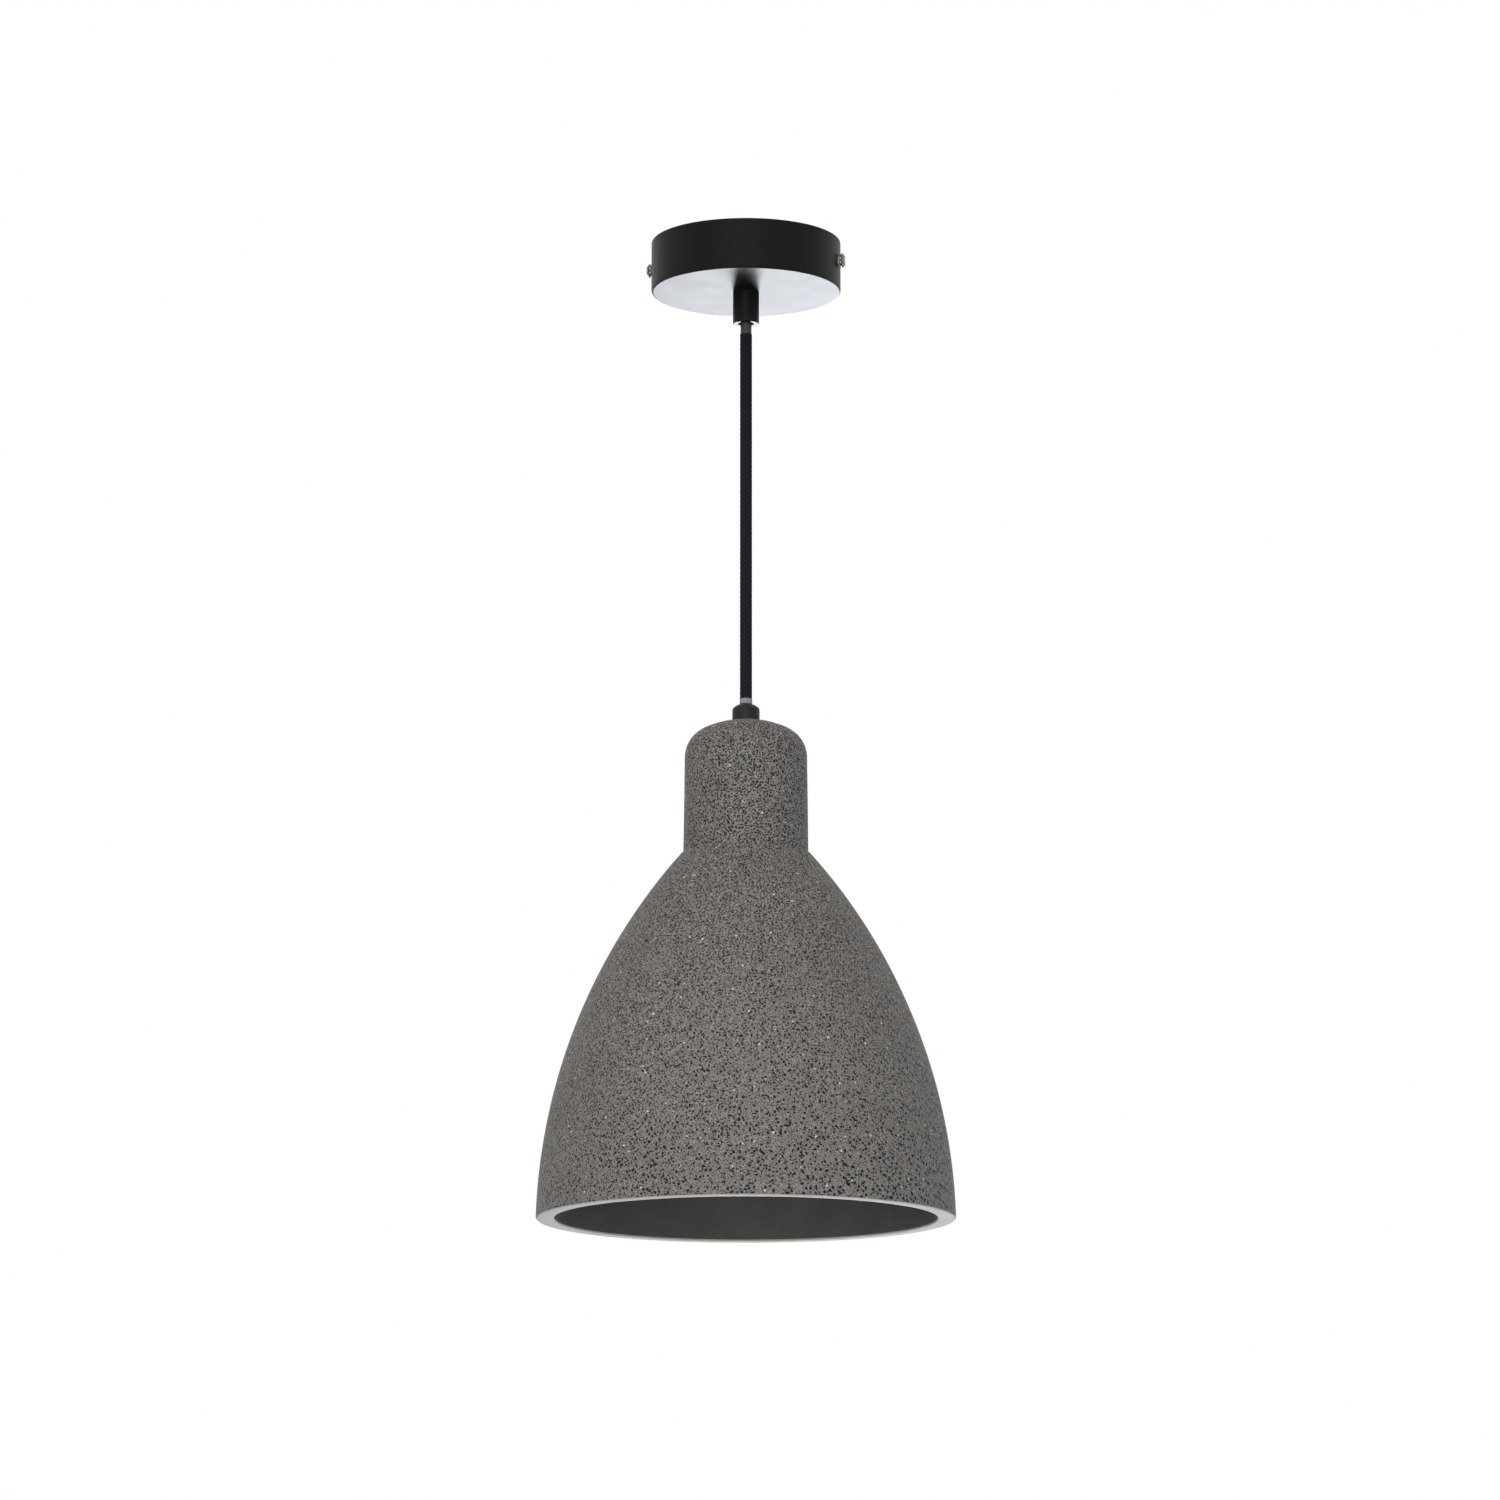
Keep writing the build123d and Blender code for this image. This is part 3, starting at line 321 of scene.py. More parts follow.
def thread_depth(threads: int, turn: float, travelled: float) -> float:
    """How deep a point of a braid or weave lies, where threads cross two over and two under.

    Args:
        threads: How many threads of each set go round.
        turn: Place round the piece, in turns.
        travelled: Place along the piece, in thread spacings.

    Returns:
        0 on a thread's crown and 1 at the edge of a crossing.
    """
    first = threads * turn + travelled
    second = threads * turn - travelled
    column, row = floor(first), floor(second)
    order = (column + row) % 4
    over_first = order < 2
    across = first - column if over_first else second - row
    along = (order % 2 + (second - row if over_first else first - column)) / 2
    return 1 - sqrt(sin(pi * across)) * (THREAD_DIP + (1 - THREAD_DIP) * sin(pi * along))


def ridge(turns: float) -> float:
    """A triangle wave: 0 at whole turns and 1 halfway between them."""
    return 1 - abs(2 * (turns % 1.0) - 1)


# Finishes

# How many finer layers the noise has: in patches of tone, in a surface's grain and in pale grains.
PATCH_DETAIL, GRAIN_DETAIL, PALE_DETAIL = 3.0, 2.0, 1.0


@dataclass(frozen=True)
class Finish:
    """A coated, moulded, plated or turned surface with a fine grain.

    Attributes:
        name: The material and how its surface was made.
        colour: Its main colour, sRGB hex.
        drift: The colour that its tone drifts to in patches, sRGB hex.
        roughness: Mean roughness.
        spread: How far the roughness wanders to each side.
        patch: Width of a patch of tone.
        grain: Width of one bump of the surface.
        depth: Height of that bump.
        metallic: 1 for bare metal.
        sockets: Other values of the shader, the same all over the surface.
    """

    name: str
    colour: str
    drift: str
    roughness: float
    spread: float = 0.05
    patch: float = 12.0
    grain: float = 1.0
    depth: float = 0.01
    metallic: float = 0.0
    sockets: tuple[tuple[str, float], ...] = ()

    def material(self) -> bpy.types.Material:
        """Makes the material, or gives it again if it is already made.

        Returns:
            The material.
        """
        made = bpy.data.materials.get(self.name)
        if made:
            return made
        material = bpy.data.materials.new(self.name)
        material.use_nodes = True
        tree = material.node_tree
        tree.nodes.clear()
        place = add_node(tree, "TexCoord").outputs["Object"]
        shader = add_node(tree, "BsdfPrincipled", {"Metallic": self.metallic, **dict(self.sockets)})
        self.paint(tree, place, shader)
        add_node(tree, "OutputMaterial", {"Surface": shader.outputs["BSDF"]})
        return material

    def paint(self, tree: bpy.types.NodeTree, place: Socket, shader: bpy.types.Node) -> None:
        """Adds patches of tone, wandering roughness and a fine grain in relief.

        Args:
            tree: The material's nodes.
            place: Where the pattern is read, in metres.
            shader: The shader to paint.
        """
        patches = self.noise(tree, place, self.patch, PATCH_DETAIL)
        grain = self.noise(tree, place, self.grain, GRAIN_DETAIL)
        tone = self.mix(tree, patches, linear(self.colour), linear(self.drift))
        limits = {"To Min": self.roughness - self.spread, "To Max": self.roughness + self.spread}
        dull = add_node(tree, "MapRange", {"Value": patches, **limits})
        bump = add_node(tree, "Bump", {"Height": grain, "Distance": self.depth * MM})
        tree.links.new(tone, shader.inputs["Base Color"])
        tree.links.new(dull.outputs["Result"], shader.inputs["Roughness"])
        tree.links.new(bump.outputs["Normal"], shader.inputs["Normal"])

    @staticmethod
    def noise(tree: bpy.types.NodeTree, place: Socket, size: float, detail: float) -> Socket:
        """Adds clouds of a size in millimetres and gives their strength."""
        inputs = {"Vector": place, "Scale": per_metre(size), "Detail": detail}
        return add_node(tree, "TexNoise", inputs).outputs["Fac"]

    @staticmethod
    def mix(
        tree: bpy.types.NodeTree, share: Socket, first: Socket | Colour, second: Socket | Colour
    ) -> Socket:
        """Adds a mix of two colours, which are inputs 6 and 7 of a Mix node, and gives its result."""
        return add_node(tree, "Mix", {0: share, 6: first, 7: second}, data_type="RGBA").outputs[2]


@dataclass(frozen=True)
class HollowShadeFinish(Finish):
    """A finish with painted shade in the hollows of the mesh's own relief.

    Attributes:
        hollow_shade: The colour of the painted shade in the hollows, sRGB hex.
    """

    hollow_shade: str = "#000000"

    def paint(self, tree: bpy.types.NodeTree, place: Socket, shader: bpy.types.Node) -> None:
        """Adds the painted shade in the hollows to the plain finish.

        Args:
            tree: The material's nodes.
            place: Where the pattern is read, in metres.
            shader: The shader to paint.
        """
        super().paint(tree, place, shader)
        tone = shader.inputs["Base Color"].links[0].from_socket
        crown = add_node(tree, "Attribute", attribute_name="crown").outputs["Fac"]
        # Painted shade: the relief's hollows take the darker colour.
        tree.links.new(self.mix(tree, crown, linear(self.hollow_shade), tone), shader.inputs["Base Color"])


@dataclass(frozen=True)
class Grit:
    """One kind of grain in the concrete, as balls sown in the casting that its surface cuts through.

    Attributes:
        colour: The grain's colour, sRGB hex.
        spacing: Distance between the seeds.
        radius: A grain's largest radius.
        share: The share of seeds that hold a grain.
        faintest: How much of its colour the palest grain shows.
        spread: How its size changes over the casting.
        edge: Width over which a grain's edge blurs.
    """

    colour: str
    spacing: float
    radius: float
    share: float = 1.0
    faintest: float = 0.4
    spread: GritSpread = GritSpread.EVEN
    edge: float = 0.3


@dataclass(frozen=True)
class SpeckledConcrete(Finish):
    """Cast grey cement full of grit.

    Attributes:
        grits: The kinds of grit.
        pale: The cement's paler grains, sRGB hex.
        pale_grain: Width of those grains.
        pale_span: The noise at which such a grain starts, and at which it is at its palest.
        wobble: How far the rows of seeds and the grains' outlines stray, as a share of the spacing.
        wobble_width: Width of the largest bends in the rows, as a multiple of the spacing.
        wobble_detail: How many layers of finer bends lie over those.
        wobble_roughness: How strong each layer is, as a share of the last.
        scatter: How irregularly the grains are sown, up to 1.
        row_axis: The axis that the rows of seeds are turned about, so that no row follows the surface.
        row_turn: How far they are turned, in degrees.
        settled: The way the grit sank in the mould.
        sorted_depths: How far down that way its size starts and ends its change.
    """

    grits: tuple[Grit, ...] = ()
    pale: str = WHITE
    pale_grain: float = 0.8
    pale_span: tuple[float, float] = (0.5, 0.75)
    wobble: float = 1.3
    wobble_width: float = 10.0
    wobble_detail: float = 3.0
    wobble_roughness: float = 0.35
    scatter: float = 0.74
    row_axis: tuple[float, float, float] = (1.0, 1.0, 0.4)
    row_turn: float = 50.0
    settled: tuple[float, float, float] = (0.4, 0.0, -1.0)
    sorted_depths: tuple[float, float] = (340.0, 560.0)

    def paint(self, tree: bpy.types.NodeTree, place: Socket, shader: bpy.types.Node) -> None:
        """Adds the cement's grains and the grit.

        Args:
            tree: The material's nodes.
            place: Where the pattern is read, in metres.
            shader: The shader to paint.
        """
        super().paint(tree, place, shader)
        tone = shader.inputs["Base Color"].links[0].from_socket
        flecks = self.noise(tree, place, self.pale_grain, PALE_DETAIL)
        start, palest = self.pale_span
        flecked = add_node(tree, "MapRange", {"Value": flecks, "From Min": start, "From Max": palest})
        tone = self.mix(tree, flecked.outputs["Result"], tone, linear(self.pale))
        for grit in self.grits:
            tone = self.mix(tree, self._mask(tree, place, grit), tone, linear(grit.colour))
        tree.links.new(tone, shader.inputs["Base Color"])

    def _mask(self, tree: bpy.types.NodeTree, place: Socket, grit: Grit) -> Socket:
        """Adds one kind of grit.

        Args:
            tree: The material's nodes.
            place: Where the pattern is read, in metres.
            grit: The grit.

        Returns:
            A socket that is 0 between grains and up to 1 inside one, each with its own strength.
        """
        layers = {"Detail": self.wobble_detail, "Roughness": self.wobble_roughness}
        bends = {"Vector": place, "Scale": per_metre(self.wobble_width * grit.spacing), **layers}
        stray = add_node(tree, "TexNoise", bends).outputs["Color"]
        strayed = {0: stray, 1: (self.wobble * grit.spacing * MM,) * 3, 2: place}
        bent = add_node(tree, "VectorMath", strayed, operation="MULTIPLY_ADD").outputs["Vector"]
        turn = {"Vector": bent, "Axis": self.row_axis, "Angle": radians(self.row_turn)}
        askew = add_node(tree, "VectorRotate", turn).outputs["Vector"]
        sown = {"Vector": askew, "Scale": per_metre(grit.spacing), "Randomness": self.scatter}
        cells = add_node(tree, "TexVoronoi", sown)
        chance = add_node(tree, "SeparateColor", {0: cells.outputs["Color"]}).outputs[0]
        limit = self._limit(tree, place, grit)
        distance = cells.outputs["Distance"]
        depth = add_node(tree, "Math", {0: limit, 1: distance}, operation="SUBTRACT").outputs[0]
        blur = grit.edge / grit.spacing / 2
        inside = add_node(tree, "MapRange", {"Value": depth, "From Min": -blur, "From Max": blur})
        present = add_node(tree, "Math", {0: chance, 1: grit.share}, operation="LESS_THAN").outputs[0]
        strengths = {"Value": chance, "From Max": grit.share, "To Min": 1.0, "To Max": grit.faintest}
        strength = add_node(tree, "MapRange", strengths).outputs["Result"]
        shown = add_node(tree, "Math", {0: inside.outputs["Result"], 1: present}, operation="MULTIPLY")
        return add_node(tree, "Math", {0: shown.outputs[0], 1: strength}, operation="MULTIPLY").outputs[0]

    def _limit(self, tree: bpy.types.NodeTree, place: Socket, grit: Grit) -> Socket | float:
        """Adds the change of a grit's size over the casting.

        Args:
            tree: The material's nodes.
            place: Where the pattern is read, in metres.
            grit: The grit.

        Returns:
            The grain's radius as a share of its spacing, as a socket where it changes.
        """
        reach = grit.radius / grit.spacing
        if grit.spread is GritSpread.EVEN:
            return reach
        sunk = add_node(tree, "VectorMath", {0: place, 1: self.settled}, operation="DOT_PRODUCT")
        top, foot = (depth * MM for depth in self.sorted_depths)
        at_top, at_foot = (share * reach for share in grit.spread.value)
        span = {"From Min": top, "From Max": foot, "To Min": at_top, "To Max": at_foot}
        sizes = {"Value": sunk.outputs["Value"], **span}
        return add_node(tree, "MapRange", sizes).outputs["Result"]


# Satin powder coat on steel: dead black to look at, and a mirror of the room where it is seen along its
# surface, with a faint orange peel.
POWDER_COAT = Finish(
    "black_satin_powder_coat", "#0b0b0c", "#0e0d0f", 0.43, 0.03, grain=1.1, depth=0.025,
    sockets=(("Specular IOR Level", 0.12),),
)
# Turned aluminium, anodised black: even satin black with soft edges of light.
BLACK_GRIP = Finish(
    "black_anodised_turned_aluminium", "#0b0a0d", "#100f13", 0.42, 0.04, grain=0.6, depth=0.004,
    sockets=(("Specular IOR Level", 0.14),),
)
# Moulded polyamide, black with a breath of violet: a shade paler than the turned grip above it.
MOULDED_GRIP = Finish(
    "moulded_black_polyamide", "#151319", "#1a181d", 0.5, grain=0.8, depth=0.01,
    sockets=(("Specular IOR Level", 0.25),),
)
# Nickel plate on steel: warm silver with soft reflections.
NICKEL = Finish("nickel_plated_steel", "#c9c2b4", "#b3aa9a", 0.24, grain=0.5, depth=0.004, metallic=1.0)
# The same plate over a knurl and a thread: bright on the ridges, with painted shade in the cuts. The knurl
# is drawn coarser than the real one, so that it shows.
KNURLED_NICKEL = HollowShadeFinish(
    "knurled_nickel_plated_steel", "#dcd8ce", "#c6c0b4", 0.2, grain=0.5, depth=0.004, metallic=1.0,
    hollow_shade="#060606",
)
# Zinc plate, passivated: cool grey metal, cloudy.
ZINC = Finish("zinc_plated_steel", "#b6babd", "#9da2a8", 0.38, 0.08, 6.0, 1.2, 0.006, metallic=1.0)
# Drawn brass: yellow metal with a fine grain.
BRASS = Finish("drawn_brass", "#c9a45a", "#b08a45", 0.3, 0.06, 5.0, 0.5, 0.004, metallic=1.0)
# Moulded polyamide: milky off-white that light soaks into.
POLYAMIDE = Finish(
    "moulded_natural_polyamide", "#e3dfd0", "#d8d2c0", 0.45, grain=0.8,
    sockets=(("Subsurface Weight", 0.2), ("Subsurface Scale", 0.001)),
)
# Extruded PVC: smooth and slightly waxy. The sheath is dark grey, the cores brown and blue.
DARK_SHEATH = Finish("extruded_dark_grey_pvc", "#2e2e31", "#27272b", 0.5, grain=0.8)
BROWN_CORE = Finish("extruded_brown_pvc", "#5b3320", "#4c2a1b", 0.42, grain=0.6)
BLUE_CORE = Finish("extruded_blue_pvc", "#2562a8", "#1f5596", 0.42, grain=0.6)
# Moulded rubber: black and dull.
RUBBER = Finish("moulded_black_rubber", "#161617", "#1d1d1e", 0.75, grain=0.4)
# Braided rayon yarn: dull black with a breath of violet, with painted shade where the threads cross.
BLACK_BRAID = HollowShadeFinish(
    "braided_black_rayon", "#27252e", "#222029", 0.8, grain=0.25, depth=0.03,
    sockets=(("Specular IOR Level", 0.12),), hollow_shade="#0b0b0e",
)
# Woven cotton tape: mid grey, pale on each thread's crown, with painted shade between the threads.
GREY_WEAVE = HollowShadeFinish(
    "woven_grey_cotton", "#d2d2d5", "#bcbcc0", 0.85, grain=0.25, depth=0.03,
    sockets=(("Specular IOR Level", 0.2),), hollow_shade="#18181b",
)
# Cast concrete rubbed smooth: dull grey cement, crowded with black grit and strewn with pale grains. The
# grit is larger towards the rim, where it sank in the mould. The finest is drawn a little coarser than the
# real one, so that it shows.
CONCRETE = SpeckledConcrete(
    "cast_speckled_concrete", "#827f7c", "#7a7773", 0.62, 0.06, patch=45.0, grain=0.7, depth=0.02,
    sockets=(("Specular IOR Level", 0.2),), pale="#aaa7a4",
    grits=(
        Grit("#010101", 1.05, 0.41, faintest=0.92, spread=GritSpread.FINER_AT_RIM, edge=0.04),
        Grit("#010102", 1.6, 0.55, share=0.5, faintest=0.92, edge=0.04),
        Grit("#010102", 2.1, 0.63, share=0.5, faintest=0.92, spread=GritSpread.COARSER_AT_RIM, edge=0.04),
        Grit("#f4f3ee", 5.0, 0.55, share=0.3, faintest=0.5, edge=0.15),
        Grit("#dcdad4", 2.6, 0.34, share=0.4, faintest=0.3, edge=0.15),
    ),
)
# Bare cement where the rim was ground flat: pale and even.
BARE_CEMENT = Finish("ground_bare_cement", "#bab8b3", "#abaaa4", 0.7, 0.06, 9.0, 0.5, 0.03)
# The casting's inside, straight from the mould: plain, darker grey, a little cloudy and uneven.
MOULD_FACE = Finish("cast_plain_concrete", "#5c5a56", "#494744", 0.7, patch=14.0, grain=2.0, depth=0.12)
# Vulcanised fibre: brick red board.
RED_FIBRE = Finish("vulcanised_red_fibre", "#7c3226", "#6d2a20", 0.65, patch=4.0, grain=0.4, depth=0.02)
# Moulded thermoset: black-brown with a hard gloss.
THERMOSET = Finish("moulded_black_thermoset", "#181513", "#1f1a17", 0.28, patch=7.0, grain=1.5)
# Pressed porcelain: warm white and dull.
PORCELAIN = Finish("pressed_white_porcelain", "#e8e4da", "#ded9cc", 0.5, grain=1.5)
# Blown soda glass: clear, with only its edges showing.
CLEAR_GLASS = Finish(
    "blown_clear_glass", "#fbfcfb", "#f6f9f7", 0.02, 0.01, patch=20.0, grain=9.0, depth=0.02,
    sockets=(("Transmission Weight", 1.0), ("IOR", 1.52)),
)
# Fused black glass round the lamp's end contact.
BLACK_GLASS = Finish("fused_black_glass", "#0d0e13", "#12131a", 0.12, 0.03, grain=2.0, depth=0.02)
# Tin solder, melted on: soft grey metal.
SOLDER = Finish("melted_tin_solder", "#b9b9b6", "#a1a19e", 0.4, 0.08, 3.0, 1.5, 0.04, metallic=1.0)
# Silicone with yellow phosphor over the filament's chips.
PHOSPHOR = Finish("phosphor_silicone", "#d9a838", "#e2b955", 0.55, patch=2.5, grain=0.5, depth=0.03)

# The finish of each material slot, and of a node that is made unlike the rest of its slot.
FINISHES: dict[str, Finish] = {
    "zinc_plated_steel": ZINC,
    "natural_plastic": POLYAMIDE,
    "brass": BRASS,
    "black_powder_coat": POWDER_COAT,
    "nickel_plate": NICKEL,
    "black_grip": BLACK_GRIP,
    "dark_sheath": DARK_SHEATH,
    "brown_core": BROWN_CORE,
    "blue_core": BLUE_CORE,
    "black_rubber": RUBBER,
    "black_braid": BLACK_BRAID,
    "grey_weave": GREY_WEAVE,
    "speckled_concrete": CONCRETE,
    "red_fibre": RED_FIBRE,
    "black_thermoset": THERMOSET,
    "white_porcelain": PORCELAIN,
    "clear_glass": CLEAR_GLASS,
    "black_glass": BLACK_GLASS,
    "solder": SOLDER,
    "filament_phosphor": PHOSPHOR,
}
OWN_FINISHES: dict[str, Finish] = {"lower_grip_body": MOULDED_GRIP}
SLOTS: dict[str, str] = {part["node"]: part["material_slot"] for part in frame["record"]["subparts"]}


def dress(*nodes: str) -> None:
    """Gives carried-over nodes their own finish, or else the finish of their slot.

    Args:
        nodes: The nodes' names.
    """
    for name in nodes:
        finish = OWN_FINISHES.get(name, FINISHES[SLOTS[name]])
        materials = frame["nodes"][name].data.materials
        materials.clear()
        materials.append(finish.material())
        LOG.info("dressed %s in %s", name, finish.name)


def seat(piece: bpy.types.Object, body: Body, node: str, *finishes: Finish) -> bpy.types.Object:
    """Dresses a new piece and puts it on its body in place of the node that it stands for.

    Args:
        piece: The new piece.
        body: The body that it moves with.
        node: The node that it replaces.
        finishes: Its finishes, in the order of its surfaces.

    Returns:
        The piece.
    """
    for finish in finishes:
        piece.data.materials.append(finish.material())
    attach(piece, body.value)
    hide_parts(node)
    LOG.info("made %s, %d faces, on %s", piece.name, len(piece.data.polygons), body.value)
    return piece


def heights(node: str) -> tuple[float, float]:
    """The lowest and highest point of a node, in millimetres."""
    low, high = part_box(node)
    return low.z / MM, high.z / MM


def half_width(node: str) -> float:
    """Half the width of a round node, in millimetres."""
    low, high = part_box(node)
    return (high.x - low.x) / 2 / MM


# Canopy


@dataclass
class CanopyScrew:
    """One side screw of the canopy: a diamond-knurled head with a domed, cross-recessed end.

    Attributes:
        node: The node that it stands for.
        body: The body that it is.
        azimuth: The way it points, in degrees.
        drop: How far its axis lies below the ceiling.
        seat_radius: Distance of the head's seat from the light's axis.
        knurl_count: How many knurl lines go round each way.
        knurl_lead: How far along the head a line goes from one spacing to the next.
        recess_slope: Width over which the recess's sides slope down.
        sharp_angle: The turn between two faces, in degrees, above which the edge between them is sharp.
    """

    node: str
    body: Body
    azimuth: float
    drop: float = 12.3
    seat_radius: float = 50.15
    shank_radius: float = 2.0
    shank_length: float = 8.5
    pitch: float = 0.7
    thread_depth: float = 0.32
    head_radius: float = 3.85
    knurl_length: float = 2.5
    knurl_depth: float = 0.45
    knurl_count: int = 9
    knurl_lead: float = 2.2
    bevel: float = 0.3
    dome_height: float = 1.3
    recess_width: float = 0.9
    recess_length: float = 4.4
    recess_depth: float = 0.8
    recess_slope: float = 0.15
    segments: int = 132
    shank_rings: int = 60
    knurl_rings: int = 20
    dome_rings: int = 26
    sharp_angle: float = 40.0

    def build(self) -> bpy.types.Object:
        """Makes the screw along +Z from its seat and lays it out to its side.

        Returns:
            The screw.
        """
        screw = turned(self.node + "_knurled", self._outline(), self.segments, False, self._cut)
        for vertex in screw.data.vertices:
            vertex.co.z -= self._recess(vertex.co / MM) * MM
        outward = Matrix.Rotation(radians(self.azimuth), 4, "Z") @ Matrix.Rotation(pi / 2, 4, "Y")
        lift = Matrix.Translation((0, 0, -self.drop * MM))
        screw.data.transform(lift @ outward @ Matrix.Translation((0, 0, self.seat_radius * MM)))
        screw.data.set_sharp_from_angle(angle=radians(self.sharp_angle))
        return seat(screw, self.body, self.node, KNURLED_NICKEL)

    def _outline(self) -> Outline:
        """The screw's half section, from the shank's end to the dome's crown.

        Returns:
            The outline.
        """
        shank, head, top = self.shank_radius, self.head_radius, self.knurl_length
        crown = top + self.dome_height
        dome_foot = head - self.bevel
        dome = (dome_foot**2 + self.dome_height**2) / (2 * self.dome_height)
        outline = Outline()
        outline.go((0.0, -self.shank_length))
        outline.go((shank - self.thread_depth, -self.shank_length))
        outline.go((shank, -self.shank_length + self.thread_depth))
        outline.go((shank, 0.0), self.shank_rings)
        outline.go((dome_foot, 0.0))
        outline.go((head, self.bevel))
        outline.go((head, top - self.bevel), self.knurl_rings)
        outline.go((dome_foot, top))
        outline.turn((0.0, crown - dome), (0.0, crown), self.dome_rings)
        return outline

    def _cut(self, place: Vector) -> float:
        """Depth of the thread or the knurl on the plain screw.

        Args:
            place: A vertex of the plain screw.

        Returns:
            How far the vertex is pressed in.
        """
        turn = atan2(place.y, place.x) / FULL_TURN
        radius = place.xy.length
        if place.z < 0 and radius > self.shank_radius - TOLERANCE:
            return self.thread_depth * ridge(place.z / self.pitch - turn)
        if place.z > 0 and radius > self.recess_length / 2:
            around, along = turn * self.knurl_count, place.z / self.knurl_lead
            return self.knurl_depth * max(ridge(around + along), ridge(around - along))
        return 0.0

    def _recess(self, place: Vector) -> float:
        """Depth of the cross recess in the dome.

        Args:
            place: A vertex of the screw.

        Returns:
            How far the vertex is pressed down.
        """
        arm = min(abs(place.x), abs(place.y))
        reach = max(abs(place.x), abs(place.y))
        if place.z <= self.knurl_length:
            return 0.0
        inside = min(self.recess_width / 2 - arm, self.recess_length / 2 - reach) / self.recess_slope
        return self.recess_depth * max(0.0, min(1.0, inside))


@dataclass
class Canopy:
    """The ceiling cup with its bracket, terminals and side screws."""

    screws: tuple[CanopyScrew, ...] = (
        CanopyScrew("canopy_screw_right", Body.CANOPY_SCREW_RIGHT, 0.0),
        CanopyScrew("canopy_screw_left", Body.CANOPY_SCREW_LEFT, 180.0),
    )

    def build(self) -> None:
        """Makes the screws and dresses the cup and what it covers."""
        for screw in self.screws:
            screw.build()
        dress("canopy_cup", "ceiling_bracket", "bracket_nuts", "earth_screw", "earth_washer")
        dress("terminal_block", "terminal_tubes", "terminal_screws", "terminal_fixing_screw")


# Cord


@dataclass
class CordSuspension:
    """The braided cord with its bare ends, its woven collar and the grips that hold it.

    Attributes:
        diameter: The braid's diameter.
        threads: How many threads go round each way.
        lead: How far along the cord a thread goes in one turn.
        relief: How deep the crossings lie.
        straight_from_end: How far from each end the route has its next point, in diameters.
        collar_row: Height of one row of the collar's weave.
    """

    diameter: float = 6.4
    threads: int = 14
    lead: float = 36.0
    relief: float = 0.16
    segments: int = 84
    steps_per_span: int = 190
    straight_from_end: float = 6.0
    collar_threads: int = 10
    collar_row: float = 0.9
    collar_relief: float = 0.42
    collar_segments: int = 120
    collar_rings: int = 26
    collar_end_rings: int = 3
    sheath_segments: int = 64
    sheath_rings: int = 12
    braid_sharp_angle: float = 70.0
    collar_sharp_angle: float = 60.0
    sheath_sharp_angle: float = 50.0

    def build(self) -> None:
        """Makes the cord's pieces and dresses the grips and the cord's hidden ends."""
        ends = [
            self._sheath("inner_sheath_top", Body.CORD_TOP),
            self._sheath("inner_sheath_bottom", Body.CORD),
            self._collar(),
        ]
        self._braid()
        dress("upper_grip_body", "upper_grip_pinch_screw", "upper_grip_washer", "upper_grip_nut")
        dress("upper_cord_bush", "lower_cord_bush", "lower_grip_body")
        for end in ("upper", "lower"):
            dress("sheath_tail_" + end, "live_core_" + end, "neutral_core_" + end)

    def _route(self) -> list[Vector]:
        """The cord's straight route, read from its smooth spline.

        Returns:
            Points from the top to the foot of the braid, in millimetres.
        """
        foot, top = heights("cord_braid")
        near = self.straight_from_end * self.diameter
        controls = (top, top - near, foot + near, foot)
        curve = bpy.data.curves.new("cord_route", "CURVE")
        curve.dimensions = "3D"
        curve.resolution_u = self.steps_per_span
        spline = curve.splines.new("NURBS")
        spline.points.add(len(controls) - 1)
        for point, height in zip(spline.points, controls):
            point.co = (0.0, 0.0, height * MM, 1.0)
        spline.order_u = 3
        spline.use_endpoint_u = True
        route = bpy.data.objects.new("cord_route", curve)
        line = bpy.data.meshes.new_from_object(route)
        points = [v.co / MM for v in line.vertices]
        bpy.data.objects.remove(route)
        bpy.data.curves.remove(curve)
        bpy.data.meshes.remove(line)
        return points

    def _braid(self) -> None:
        """Makes the braided cover along the route.
        """
        route = self._route()
        vertices: list[Vector] = []
        depths: list[float] = []
        faces: list[tuple[int, ...]] = []
        travelled = 0.0
        for number, centre in enumerate(route):
            if number:
                travelled += (centre - route[number - 1]).length
                faces += ring_faces(len(vertices) - self.segments, len(vertices), self.segments)
            spacings = self.threads * travelled / self.lead
            for n in range(self.segments):
                turn = n / self.segments
                outward = Vector((cos(FULL_TURN * turn), sin(FULL_TURN * turn), 0.0))
                depth = self.relief * thread_depth(self.threads, turn, spacings)
                vertices.append(centre + outward * (self.diameter / 2 - depth))
                depths.append(depth)
        last = len(vertices) - self.segments
        faces.append(tuple(reversed(range(self.segments))))
        faces.append(tuple(range(last, last + self.segments)))
        braid = new_piece("braided_cord", vertices, faces)
        set_crowns(braid, depths)
        braid.data.set_sharp_from_angle(angle=radians(self.braid_sharp_angle))
        seat(braid, Body.CORD, "cord_braid", BLACK_BRAID)

    def _collar(self) -> bpy.types.Object:
        """Makes the woven binding at the foot of the braid.

        Returns:
            The collar.
        """
        foot, top = heights("cord_end_collar")
        outer = half_width("cord_end_collar")
        inner = half_width("inner_sheath_bottom")
        outline = Outline()
        outline.go((inner, top))
        outline.go((outer, top), self.collar_end_rings)
        outline.go((outer, foot), self.collar_rings)
        outline.go((inner, foot), self.collar_end_rings)

        def weave(place: Vector) -> float:
            """Depth of the weave on the plain ring.

            Args:
                place: A vertex of the plain ring.

            Returns:
                How far the vertex is pressed in.
            """
            if place.xy.length < outer - TOLERANCE:
                return 0.0
            turn = atan2(place.y, place.x) / FULL_TURN
            row = (top - place.z) / self.collar_row
            return self.collar_relief * thread_depth(self.collar_threads, turn, row)

